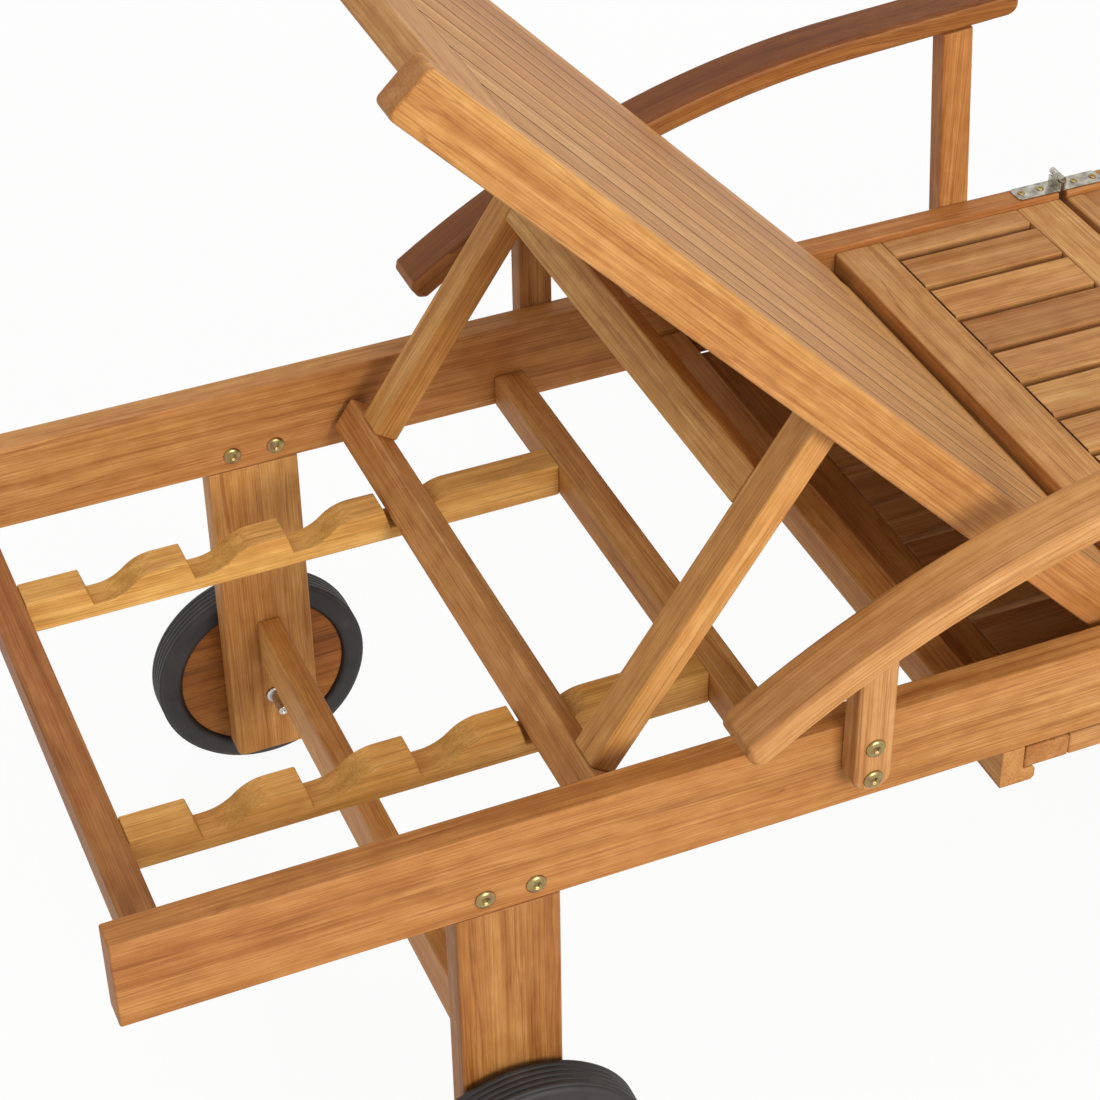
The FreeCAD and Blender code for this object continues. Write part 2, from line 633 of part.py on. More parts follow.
def on_bend(radius, turn):
    """Point of the bend at a slope angle."""
    return (bend_centre[0] - radius * math.sin(turn), bend_centre[1] + radius * math.cos(turn))


def arm_underside(x):
    """Height of the armrest's underside over a rail position."""
    inner = size.arm_bend_radius - size.arm_thick
    tangent_x, tangent_z = on_bend(inner, slope)
    if x > tangent_x:
        return tangent_z + (x - tangent_x) * math.tan(slope)
    return bend_centre[1] + math.sqrt(inner ** 2 - (bend_centre[0] - x) ** 2)


def armrest(name, side):
    outer = size.arm_bend_radius
    inner = outer - size.arm_thick
    steep = slope + bend
    nose = size.arm_thick / 2
    end_x, end_z = size.arm_front_at - nose * math.cos(slope), arm_top - nose * math.sin(slope)
    low_x, low_z = end_x + size.arm_thick * math.sin(slope), end_z - size.arm_thick * math.cos(slope)
    tip = ((end_x + low_x) / 2 + nose * math.cos(slope), (end_z + low_z) / 2 + nose * math.sin(slope))
    body = new_body(name)
    sketch = new_sketch(body, "XZ_Plane", "side_view")
    outline(sketch, [
        arc_through(on_bend(outer, steep), on_bend(outer, slope + bend / 2), on_bend(outer, slope)),
        Part.LineSegment(Vector(*on_bend(outer, slope)), Vector(end_x, end_z)),
        arc_through((end_x, end_z), tip, (low_x, low_z)),
        Part.LineSegment(Vector(low_x, low_z), Vector(*on_bend(inner, slope))),
        arc_through(on_bend(inner, slope), on_bend(inner, slope + bend / 2), on_bend(inner, steep)),
        Part.LineSegment(Vector(*on_bend(inner, steep)), Vector(*on_bend(outer, steep))),
    ])
    blank = pad(body, sketch, "arm_wide", midplane=True)
    half = size.arm_wide / 2
    rear = edges_where(blank, lambda edge: runs_along(ALONG["Y"])(edge)
                       and edge.CenterOfMass.x < bend_start[0] - size.arm_bend_radius * math.sin(bend / 2))
    eased = ease_edges(body, blank, rear, "arm_end_ease", "eased_end")

    def on_a_side(edge):
        ys = [vertex.Y for vertex in edge.Vertexes]
        return len(ys) > 1 and min(ys) * max(ys) > 0 and abs(abs(ys[0]) - half) < TOUCH
    ease_edges(body, eased, edges_where(eased, on_a_side), "arm_ease")
    body.Placement.Base = Vector(0, side * (half_width + size.arm_inset + half), 0)
    return body


def post(name, foot_x, shift):
    """A post whose head meets the armrest; shift is its lean per millimetre of height."""
    foot_z = size.rail_top - size.post_below
    left = foot_x + shift * size.post_below
    right = left + size.post_wide

    def head(edge_x):
        x = edge_x - shift * (arm_underside(edge_x) - foot_z)
        return (x, arm_underside(x))
    ease = size.post_end_round
    corner = ease * (1 - math.sqrt(0.5))
    body = new_body(name, exported=False)
    sketch = new_sketch(body, "XZ_Plane", "side_view")
    outline(sketch, [
        Part.LineSegment(Vector(*head(left)), Vector(left, foot_z + ease)),
        arc_through((left, foot_z + ease), (left + corner, foot_z + corner), (left + ease, foot_z)),
        Part.LineSegment(Vector(left + ease, foot_z), Vector(right - ease, foot_z)),
        arc_through((right - ease, foot_z), (right - corner, foot_z + corner), (right, foot_z + ease)),
        Part.LineSegment(Vector(right, foot_z + ease), Vector(*head(right))),
        Part.LineSegment(Vector(*head(right)), Vector(*head(left))),
    ])
    blank = pad(body, sketch, "post_thick", midplane=True)
    half = size.post_thick / 2

    def upright(edge):
        return (edge.Curve.TypeId == "Part::GeomLine" and edge.Length > size.arm_thick
                and all(abs(abs(vertex.Y) - half) < TOUCH for vertex in edge.Vertexes)
                and abs(edge.tangentAt(edge.FirstParameter).z) > 0.9)
    ease_edges(body, blank, edges_where(blank, upright), "fine_ease")
    middle = foot_x + size.post_wide / 2
    bolt_holes(body, [(x, z + rail_bottom) for x, z in post_bolt_points
                      if abs(x - middle) < size.post_wide], size.bolt_radius + size.bolt_slack)
    return body


post_y = half_width + size.post_thick / 2
for word, side in SIDES:
    armrest(f"armrest_{word}", side)
both_sides("rear_posts", post("rear_post", size.rear_post_at, 0), 0, post_y, 0)
both_sides("front_posts", post("front_post", size.front_post_at, lean), 0, post_y, 0)


# ---------------------------------------------------------------- tilting back
def in_plane_of(placement, body):
    """Carries a body modelled in a tilted frame into its place."""
    body.Placement = placement.multiply(body.Placement)
    return body


tilt = Placement(Vector(size.pivot_at, 0, pivot_z), Rotation(Vector(0, 1, 0), size.back_angle))
back_half = size.back_deep / 2
back_outside = size.between_rails / 2 - size.back_side_gap
back_inside = back_outside - size.back_rail_thick

for word, side in SIDES:
    # The back lies flat in its own frame: x = 0 at the pivot, the head end at -x.
    rail = new_body(f"back_rail_{word}")
    side_view = new_sketch(rail, "XZ_Plane", "side_view")
    head_x = -size.back_head_long
    outline(side_view, [
        Part.LineSegment(Vector(0, back_half), Vector(head_x, back_half)),
        Part.LineSegment(Vector(head_x, back_half), Vector(head_x, -back_half)),
        Part.LineSegment(Vector(head_x, -back_half), Vector(0, -back_half)),
        arc_through((0, -back_half), (back_half, 0), (0, back_half)),
    ])
    blank = pad(rail, side_view, "back_rail_thick", midplane=True)
    head_edges = edges_where(blank, lambda edge: runs_along(ALONG["Y"])(edge)
                             and edge.CenterOfMass.x < head_x / 2)
    eased = ease_edges(rail, blank, head_edges, "edge_ease", "eased_head")
    ease_edges(rail, eased, edges_where(eased, in_side_face()), "edge_ease")
    drill(rail, [(0, 0)], "pivot_radius + pivot_clearance", name="pivot_hole")
    bolt_holes(rail, [(-size.prop_pivot_up, -size.prop_pivot_low)], size.pivot_radius + size.bolt_slack,
               name="prop_hole", sides=HEAD_SIDES)
    rail.Placement.Base = Vector(0, side * (back_outside - size.back_rail_thick / 2), 0)
    in_plane_of(tilt, rail)

stile_low = back_half - size.panel_thick
in_plane_of(tilt, board("back_bottom_stile", ("back_bottom_wide", "inside_back", "panel_thick"),
                        (size.back_bottom_below - size.back_bottom_wide, -back_inside, stile_low),
                        "Y", "fine_ease"))
in_plane_of(tilt, board("back_top_stile", ("back_top_wide", "inside_back", "panel_thick"),
                        (-size.back_top_from - size.back_top_wide, -back_inside, stile_low),
                        "Y", "fine_ease"))
back_row_wide = size.slat_count * (size.back_slat_wide + size.back_slat_gap) - size.back_slat_gap
in_plane_of(tilt, slat_row(
    "back_slats", ("back_top_from + back_bottom_below - back_bottom_wide", "back_slat_wide", "slat_thick"),
    "back_slat_wide + back_slat_gap",
    (-size.back_top_from, -back_row_wide / 2, back_half - size.slat_thick)))

# ---------------------------------------------------------------- prop that holds the back up
bar_centre = Vector(size.notch_first_at + size.seat_notch * size.notch_apart + size.bar_from_wall, 0,
                    rail_bottom + size.cross_deep - size.notch_deep + size.bar_over_floor)
prop_pivot = tilt.multVec(Vector(-size.prop_pivot_up, 0, -size.prop_pivot_low))
prop_reach = prop_pivot - bar_centre
prop_angle = math.degrees(math.atan2(prop_reach.z, prop_reach.x))
prop_long = prop_reach.Length
# In the prop's own frame x runs up the arms from the foot bar's centre, z to their upper face.
stand = Placement(bar_centre, Rotation(Vector(0, 1, 0), -prop_angle))
prop_half = size.prop_thick / 2
arm_outside = back_inside - size.prop_side_gap
arm_inside = arm_outside - size.prop_arm_wide

for word, side in SIDES:
    arm = new_body(f"prop_arm_{word}")
    side_view = new_sketch(arm, "XZ_Plane", "side_view")
    foot_x = size.prop_bar_deep / 2
    outline(side_view, [
        Part.LineSegment(Vector(prop_long, prop_half), Vector(foot_x, prop_half)),
        Part.LineSegment(Vector(foot_x, prop_half), Vector(foot_x, -prop_half)),
        Part.LineSegment(Vector(foot_x, -prop_half), Vector(prop_long, -prop_half)),
        arc_through((prop_long, -prop_half), (prop_long + prop_half, 0), (prop_long, prop_half)),
    ])
    blank = pad(arm, side_view, "prop_arm_wide", midplane=True)
    ease_edges(arm, blank, edges_where(blank, runs_along(ALONG["X"])), "fine_ease")
    drill(arm, [(prop_long, 0)], "pivot_radius + pivot_clearance", name="pivot_hole")
    arm.Placement.Base = Vector(0, side * (arm_outside - size.prop_arm_wide / 2), 0)
    in_plane_of(stand, arm)

foot_bar = new_body("prop_foot_bar")
section = new_sketch(foot_bar, "XZ_Plane", "section")
rectangle(section, "prop_bar_deep", "prop_thick", centred=True)
blank = pad(foot_bar, section, "prop_bar_long", midplane=True)
ease_edges(foot_bar, blank, edges_where(blank, runs_along(ALONG["Y"])), "fine_ease")
bar_half = size.prop_bar_deep / 2
beyond = size.fine_ease
for word, side in SIDES:
    # Clearance over the rack: only a corner strap is left, so that the teeth pass below it.
    slot_sketch = new_sketch(foot_bar, "XZ_Plane", f"slot_{word}_sketch")
    slot_sketch.AttachmentOffset = Placement(Vector(0, 0, -side * size.rack_apart / 2), Rotation())
    strap_slope = size.rack_strap_across / size.rack_strap_along
    outline(slot_sketch, polygon([
        (-bar_half - beyond, -prop_half - beyond),
        (bar_half + beyond, -prop_half - beyond),
        (bar_half + beyond, prop_half - size.rack_strap_across - strap_slope * beyond),
        (bar_half - size.rack_strap_along - beyond / strap_slope, prop_half + beyond),
        (-bar_half - beyond, prop_half + beyond),
    ]))
    slot = foot_bar.newObject("PartDesign::Pocket", f"slot_{word}")
    slot.Profile = slot_sketch
    slot.Midplane = True
    bind(slot, "Length", "rack_thick + 2*rack_slot_slack")
    doc.recompute()
in_plane_of(stand, foot_bar)

tie_wide = "inside_back - 2*prop_side_gap - 2*prop_arm_wide"
in_plane_of(stand, board("prop_tie_bar", ("prop_tie_deep", tie_wide, "prop_thick"),
                         (size.prop_tie_at, -arm_inside, -prop_half), "Y", "fine_ease"))

# ---------------------------------------------------------------- sliding tray and its runners
runner_z = rail_bottom - size.runner_deep
tray_x = size.tray_runner_at + size.runner_body_wide + size.tray_clearance
tray_z = runner_z + size.runner_lip + size.tray_float
foot_runner_x = tray_x + size.tray_wide + size.tray_clearance + size.runner_body_wide


def runner(name, x, facing):
    """An L-shaped runner across the lounger; facing is +1 where its lip points to +X."""
    body = new_body(name)
    sketch = new_sketch(body, "XZ_Plane", "section")
    wide, body_wide = facing * size.runner_wide, facing * size.runner_body_wide
    outline(sketch, polygon([(0, 0), (wide, 0), (wide, size.runner_lip), (body_wide, size.runner_lip),
                             (body_wide, size.runner_deep), (0, size.runner_deep)]))
    blank = pad(body, sketch, "frame_width", midplane=True)
    nose = edges_where(blank, lambda edge: runs_along(ALONG["Y"])(edge)
                       and abs(edge.CenterOfMass.x - wide) < TOUCH)
    ease_edges(body, blank, nose, "edge_ease", "lip_nose")
    body.Placement.Base = Vector(x, 0, runner_z)
    return body


runner("tray_runner_head", size.tray_runner_at, 1)
runner("tray_runner_foot", foot_runner_x, -1)

tray_front = -half_width
tray_inner = "slat_count*(slat_wide + tray_slat_gap) + tray_slat_gap"
tray_depth = f"{tray_inner} + 2*tray_end_wide"
board("tray_side_bars", ("tray_bar_wide", tray_depth, "tray_thick"), (tray_x, tray_front, tray_z),
      "Y", "edge_ease", ("H_Axis", "tray_wide - tray_bar_wide"))
board("tray_end_bars", ("tray_wide - 2*tray_bar_wide", "tray_end_wide", "tray_thick"),
      (tray_x + size.tray_bar_wide, tray_front, tray_z), "X", "fine_ease",
      ("V_Axis", f"{tray_inner} + tray_end_wide"))
slat_row("tray_slats", ("tray_wide - 2*tray_bar_wide", "slat_wide", "tray_slat_thick"),
         "slat_wide + tray_slat_gap",
         (tray_x + size.tray_bar_wide, tray_front + size.tray_end_wide + size.tray_slat_gap,
          tray_z + size.tray_thick - size.tray_slat_thick))

# ---------------------------------------------------------------- wheels
axle_z = size.rail_top - size.axle_drop
tyre_half = size.tyre_wide / 2
disc_half = size.wheel_thick / 2
wheel_y = half_width + size.wheel_gap + tyre_half


for word, side in SIDES:
    tyre = turned_ring(f"tyre_{word}", size.wheel_radius, size.tyre_radius, tyre_half)
    disc = turned_ring(f"wheel_disc_{word}", size.pivot_radius + size.pivot_clearance,
                       size.wheel_radius, disc_half)
    for piece in (tyre, disc):
        piece.Placement.Base = Vector(size.axle_at, side * wheel_y, axle_z)

# ---------------------------------------------------------------- bolts, nuts, washers
FACE_OUT = {-1: Rotation(), 1: Rotation(Vector(0, 0, 1), 180)}


def bolt(name, shank_radius, shank_long, sides=SHANK_SIDES):
    """A flat-headed bolt; its head is at -Y and the seat of its head at y = 0."""
    return stack(name, [(HEAD_SIDES, size.bolt_head_radius, -size.bolt_head_high, 0),
                        (sides, shank_radius, 0, shank_long)])


def ring(name, inner, outer, thick):
    """A washer or spacer from y = 0 to y = thick."""
    body = stack(name, [(HEAD_SIDES, outer, 0, thick)])
    bolt_holes(body, [(0, 0)], inner, name="bore", sides=HEAD_SIDES)
    return body


def at_both_sides(points, y):
    """Placements at (x, z) points on both sides, facing outwards; y is the seat on the far side."""
    return [Placement(Vector(x, side * y, z), FACE_OUT[side]) for _, side in SIDES for x, z in points]


def facing_in(points, y):
    """Placements at (x, z) points on both sides, facing the centreline."""
    return [Placement(Vector(x, side * y, z), FACE_OUT[-side]) for _, side in SIDES for x, z in points]


rail_face = half_width
rail_inner = half_width - size.rail_thick
leg_bolt = bolt("leg_bolt", size.bolt_radius, size.rail_thick)
leg_nut = stack("leg_nut", [(HEAD_SIDES, size.bolt_head_radius, -size.bolt_head_high, 0)])
frame_points = [(x, z + rail_bottom) for x, z in head_leg_points]
foot_points = [(x + foot_start, z + rail_bottom) for x, z in leg_bolt_points(foot_leg_at, foot_start)]
group("leg_bolts", leg_bolt, at_both_sides(frame_points, rail_face))
group("leg_nuts", leg_nut, facing_in(frame_points, rail_inner))
group("foot_leg_bolts", leg_bolt, at_both_sides(foot_points, rail_face - size.foot_inset))
group("foot_leg_nuts", leg_nut, facing_in(foot_points, rail_inner - size.foot_inset))

post_bolt = bolt("post_bolt", size.bolt_radius, size.post_thick + size.rail_thick - size.bolt_slack)
group("post_bolts", post_bolt, at_both_sides([(x, z + rail_bottom) for x, z in post_bolt_points],
                                             half_width + size.post_thick))

pivot_bolt = bolt("pivot_bolt", size.pivot_radius,
                  half_width - back_inside - size.bolt_head_high, HEAD_SIDES)
group("pivot_bolts", pivot_bolt, at_both_sides([(size.pivot_at, pivot_z)], rail_face))
pivot_spacer = ring("pivot_spacer", size.pivot_radius + size.bolt_slack, size.washer_radius,
                    size.back_side_gap - size.bolt_slack)
group("pivot_spacers", pivot_spacer, at_both_sides([(size.pivot_at, pivot_z)], rail_inner))

prop_bolt = bolt("prop_bolt", size.pivot_radius, size.prop_arm_wide + size.back_rail_thick / 2,
                 HEAD_SIDES)
group("prop_bolts", prop_bolt, facing_in([(prop_pivot.x, prop_pivot.z)], arm_inside))

disc_inner = wheel_y - disc_half
disc_outer = wheel_y + disc_half
washer_thick = size.bolt_head_high / 2
axle_spacer = ring("axle_spacer", size.pivot_radius + size.bolt_slack, size.washer_radius,
                   disc_inner - half_width - size.bolt_slack)
group("axle_spacers", axle_spacer,
      at_both_sides([(size.axle_at, axle_z)], disc_inner - size.bolt_slack))
axle_end = rail_inner - 2 * size.bolt_head_high
axle_bolt = bolt("axle_bolt", size.pivot_radius, disc_outer + size.bolt_slack - axle_end, HEAD_SIDES)
group("axle_bolts", axle_bolt, at_both_sides([(size.axle_at, axle_z)], disc_outer + size.bolt_slack))
axle_nut = stack("axle_nut", [(HEAD_SIDES, size.washer_radius, 0, washer_thick),
                              (SHANK_SIDES, size.bolt_head_radius, washer_thick, size.axle_nut_long)])
bolt_holes(axle_nut, [(0, 0)], size.pivot_radius, name="thread_hole", sides=HEAD_SIDES)
group("axle_nuts", axle_nut, [
    Placement(Vector(size.axle_at, side * rail_inner, axle_z), FACE_OUT[side]) for _, side in SIDES])


# ---------------------------------------------------------------- fold hinges
def hinge_leaf(name, facing, knuckle_places, knuckle_wide):
    """A leaf screwed to a rail top, bent up to its knuckles; facing is -1 for the head leaf.

    Its own origin is on the pin's axis, mid width."""
    low = -size.hinge_rise
    face = size.knuckle_radius
    inner = face - size.hinge_thick
    shelf = -(size.knuckle_radius + size.hinge_play)
    body = new_body(name, exported=False)
    sketch = new_sketch(body, "XZ_Plane", "bent_plate")
    outline(sketch, polygon([(facing * x, z) for x, z in (
        (size.hinge_leaf_long, low), (inner, low), (inner, shelf), (face, shelf),
        (face, low + size.hinge_thick), (size.hinge_leaf_long, low + size.hinge_thick))]))
    plate = pad(body, sketch, "hinge_wide", "bent_plate", midplane=True)
    end = edges_where(plate, lambda edge: runs_along(ALONG["Z"])(edge)
                      and abs(edge.CenterOfMass.x - facing * size.hinge_leaf_long) < TOUCH)
    ease_edges(body, plate, end, "edge_ease", "leaf_corners")
    for index, y in enumerate(knuckle_places):
        offset = Placement(Vector(0, 0, -y), Rotation())
        strap_sketch = new_sketch(body, "XZ_Plane", f"strap_{index}")
        strap_sketch.AttachmentOffset = offset
        outline(strap_sketch, polygon([(facing * inner, shelf - size.hinge_thick),
                                       (facing * face, shelf - size.hinge_thick),
                                       (facing * face, 0), (facing * inner, 0)]))
        pad(body, strap_sketch, knuckle_wide, f"strap_pad_{index}", midplane=True)
        knuckle_sketch = new_sketch(body, "XZ_Plane", f"knuckle_{index}")
        knuckle_sketch.AttachmentOffset = offset
        outline(knuckle_sketch, flat_sided(size.knuckle_radius, HEAD_SIDES))
        pad(body, knuckle_sketch, knuckle_wide, f"knuckle_pad_{index}", midplane=True)
    bolt_holes(body, [(0, 0)], size.hinge_pin_radius + size.pivot_clearance, name="pin_hole",
               sides=HEAD_SIDES)
    screw_x = facing * (size.hinge_leaf_long - size.screw_first)
    bolt_holes(body, [(screw_x, 0), (screw_x - facing * size.screw_apart, 0)],
               size.screw_shank_radius + size.bolt_slack, "XY_Plane", "screw_holes")
    return body


pin_z = size.rail_top + size.hinge_rise
hinge_y = rail_middle(1)
outer_knuckle = (size.hinge_wide - size.knuckle_mid) / 2 - size.hinge_play
outer_place = (size.hinge_wide - outer_knuckle) / 2
both_sides("hinge_head_leaves", hinge_leaf("head_leaf", -1, (0,), "knuckle_mid"),
           fold_x, hinge_y, pin_z)
both_sides("hinge_foot_leaves",
           hinge_leaf("foot_leaf", 1, (-outer_place, outer_place),
                      "(hinge_wide - knuckle_mid)/2 - hinge_play"), fold_x, hinge_y, pin_z)
pin_half = size.hinge_wide / 2
hinge_pin = stack("hinge_pin", [(HEAD_SIDES, size.hinge_pin_radius, -pin_half, pin_half)])
both_sides("hinge_pins", hinge_pin, fold_x, hinge_y, pin_z)

screw = stack("screw", [(HEAD_SIDES, size.screw_head_radius, -size.screw_head_high, 0),
                        (SHANK_SIDES, size.screw_shank_radius, 0, size.screw_long)])
head_down = Rotation(Vector(1, 0, 0), -90)
plate_top = size.rail_top + size.hinge_thick
for name, facing in (("hinge_head_screws", -1), ("hinge_foot_screws", 1)):
    first = fold_x + facing * (size.hinge_leaf_long - size.screw_first)
    group(name, screw, [
        Placement(Vector(x, side * hinge_y, plate_top), head_down)
        for _, side in SIDES for x in (first, first - facing * size.screw_apart)])

# ---------------------------------------------------------------- checks and files
centring = Placement(Vector(-foot_end / 2, 0, 0), Rotation())
for node in nodes:
    in_plane_of(centring, node)
doc.recompute()
for item in doc.Objects:
    if {"Invalid", "Error"} & set(item.State):
        raise RuntimeError(f"{item.Label} did not build: {item.State}")
for node in nodes:
    if node.Shape.isNull() or not node.Shape.isValid():
        raise RuntimeError(f"{node.Label} has no valid shape")
for node in nodes:
    node.Shape.exportStep(f"parts/{node.Label}.step")
print(len(nodes), "nodes,", sum(len(node.Shape.Solids) for node in nodes), "solids")
print("back pivot", centring.multVec(Vector(size.pivot_at, 0, pivot_z)),
      "prop pivot", centring.multVec(prop_pivot), "fold", centring.multVec(Vector(fold_x, 0, pin_z)),
      "axle", centring.multVec(Vector(size.axle_at, wheel_y, axle_z)))
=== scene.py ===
import math
import random

import bmesh
import bpy
from mathutils import Matrix, Vector


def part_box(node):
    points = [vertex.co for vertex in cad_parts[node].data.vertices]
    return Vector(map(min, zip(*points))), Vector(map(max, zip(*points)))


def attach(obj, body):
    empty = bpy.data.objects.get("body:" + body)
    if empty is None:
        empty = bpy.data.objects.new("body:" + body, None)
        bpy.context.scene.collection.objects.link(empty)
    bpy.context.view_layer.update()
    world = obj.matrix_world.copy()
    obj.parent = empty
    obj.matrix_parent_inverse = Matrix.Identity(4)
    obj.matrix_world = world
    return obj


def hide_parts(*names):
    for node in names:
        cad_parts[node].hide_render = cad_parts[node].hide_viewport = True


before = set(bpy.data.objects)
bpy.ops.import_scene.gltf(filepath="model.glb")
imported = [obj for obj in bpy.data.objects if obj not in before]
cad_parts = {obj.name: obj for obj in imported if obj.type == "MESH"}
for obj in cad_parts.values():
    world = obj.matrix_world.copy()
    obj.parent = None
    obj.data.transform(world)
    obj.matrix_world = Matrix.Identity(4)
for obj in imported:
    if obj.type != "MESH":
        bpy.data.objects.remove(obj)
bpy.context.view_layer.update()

# ---------------------------------------------------------------- camera
# A long lens from above the head end's near corner, looking down along the lounger.
# HEADING turns it from straight across, BELOW_LEVEL tips it down and ROLL leans it, in degrees.
LENS = 90.2
EYE = Vector((-1.160, -1.580, 1.739))
HEADING, BELOW_LEVEL, ROLL = 22.39, 37.91, -0.93

camera = bpy.data.objects.new("camera", bpy.data.cameras.new("camera"))
bpy.context.scene.collection.objects.link(camera)
camera.data.lens = LENS
camera.matrix_world = (Matrix.Translation(EYE)
                       @ Matrix.Rotation(math.radians(-HEADING), 4, "Z")
                       @ Matrix.Rotation(math.radians(90 - BELOW_LEVEL), 4, "X")
                       @ Matrix.Rotation(math.radians(ROLL), 4, "Z"))
bpy.context.scene.camera = camera

# ---------------------------------------------------------------- side rails
# Long planks of oiled teak, planed and sanded, with their edges taken off by hand.
# Teak is golden brown with darker growth rings, fine dark pores and a satin oil sheen.
WELD = 1e-5                      # vertices nearer than this are one
FLAT = math.radians(1)           # triangles that turn by less make one face
CORNER = math.radians(25)        # edges that turn by more are rounded over
FINE = 0.0012                    # but not ones this short, which ring a bolt hole
RAIL_EASE = 0.0021               # how far a rail's edges are rounded over
RING_APART = 0.0062              # one growth ring to the next
RING_SCALE = math.pi / 10 / RING_APART
LOG_SWAY = 0.034                 # strength of the bends in a log
END_STRENGTH = (0.45, 0.45, 0.45, 1)
LOOKS_THAT_WAY = 0.6             # a face's normal counts as facing a way from here on
END_GAIN, END_START = 1.2, 0.15  # how sawn end shows as a face turns across the grain
PALEST, DARKEST = 0, 0.8         # range of the boards' random shades
# board_is holds painted shade for narrow gaps, how much sawn end a face shows, and the shade
PAINTED_GAP_SHADE, END, SHADE = 0, 1, 2      # what board_is holds


def colour(code):
    """An sRGB hex colour as the linear colour that a shader takes."""
    parts = [int(code[i:i + 2], 16) / 255 for i in (1, 3, 5)]
    return [p / 12.92 if p <= 0.04045 else ((p + 0.055) / 1.055) ** 2.4 for p in parts] + [1]


def add(tree, kind, inputs=(), **settings):
    """Adds a node; inputs maps its sockets to values or to other nodes' outputs."""
    made = tree.nodes.new("ShaderNode" + kind)
    for name, value in settings.items():
        setattr(made, name, value)
    for socket, value in dict(inputs).items():
        if isinstance(value, bpy.types.NodeSocket):
            tree.links.new(value, made.inputs[socket])
        else:
            made.inputs[socket].default_value = value
    return made


def new_material(name):
    """A material with its tree and its one shader, ready for nodes."""
    material = bpy.data.materials.new(name)
    material.use_nodes = True
    return material, material.node_tree, material.node_tree.nodes["Principled BSDF"]


def ramp(tree, factor, stops):
    """A colour ramp through (place, grey or colour) stops."""
    made = add(tree, "ValToRGB", {"Fac": factor})
    line = made.color_ramp
    while len(line.elements) < len(stops):
        line.elements.new(0.5)
    for element, (place, value) in zip(line.elements, stops):
        element.position = place
        element.color = colour(value) if isinstance(value, str) else (value, value, value, 1)
    return made.outputs["Color"]


def mix(tree, factor, under, over, how="MIX"):
    """Lays one colour over another."""
    made = add(tree, "Mix", {0: factor, 6: under, 7: over}, data_type="RGBA", blend_type=how)
    return made.outputs[2]


def along_grain(tree, place, stretch, detail=3):
    """Noise drawn out along the grain: stretch is its scale per metre along and across it."""
    scaled = add(tree, "VectorMath", {0: place, 1: (stretch[0], stretch[1], stretch[1])},
                 operation="MULTIPLY")
    return add(tree, "TexNoise", {"Vector": scaled.outputs[0], "Scale": 1, "Detail": detail})


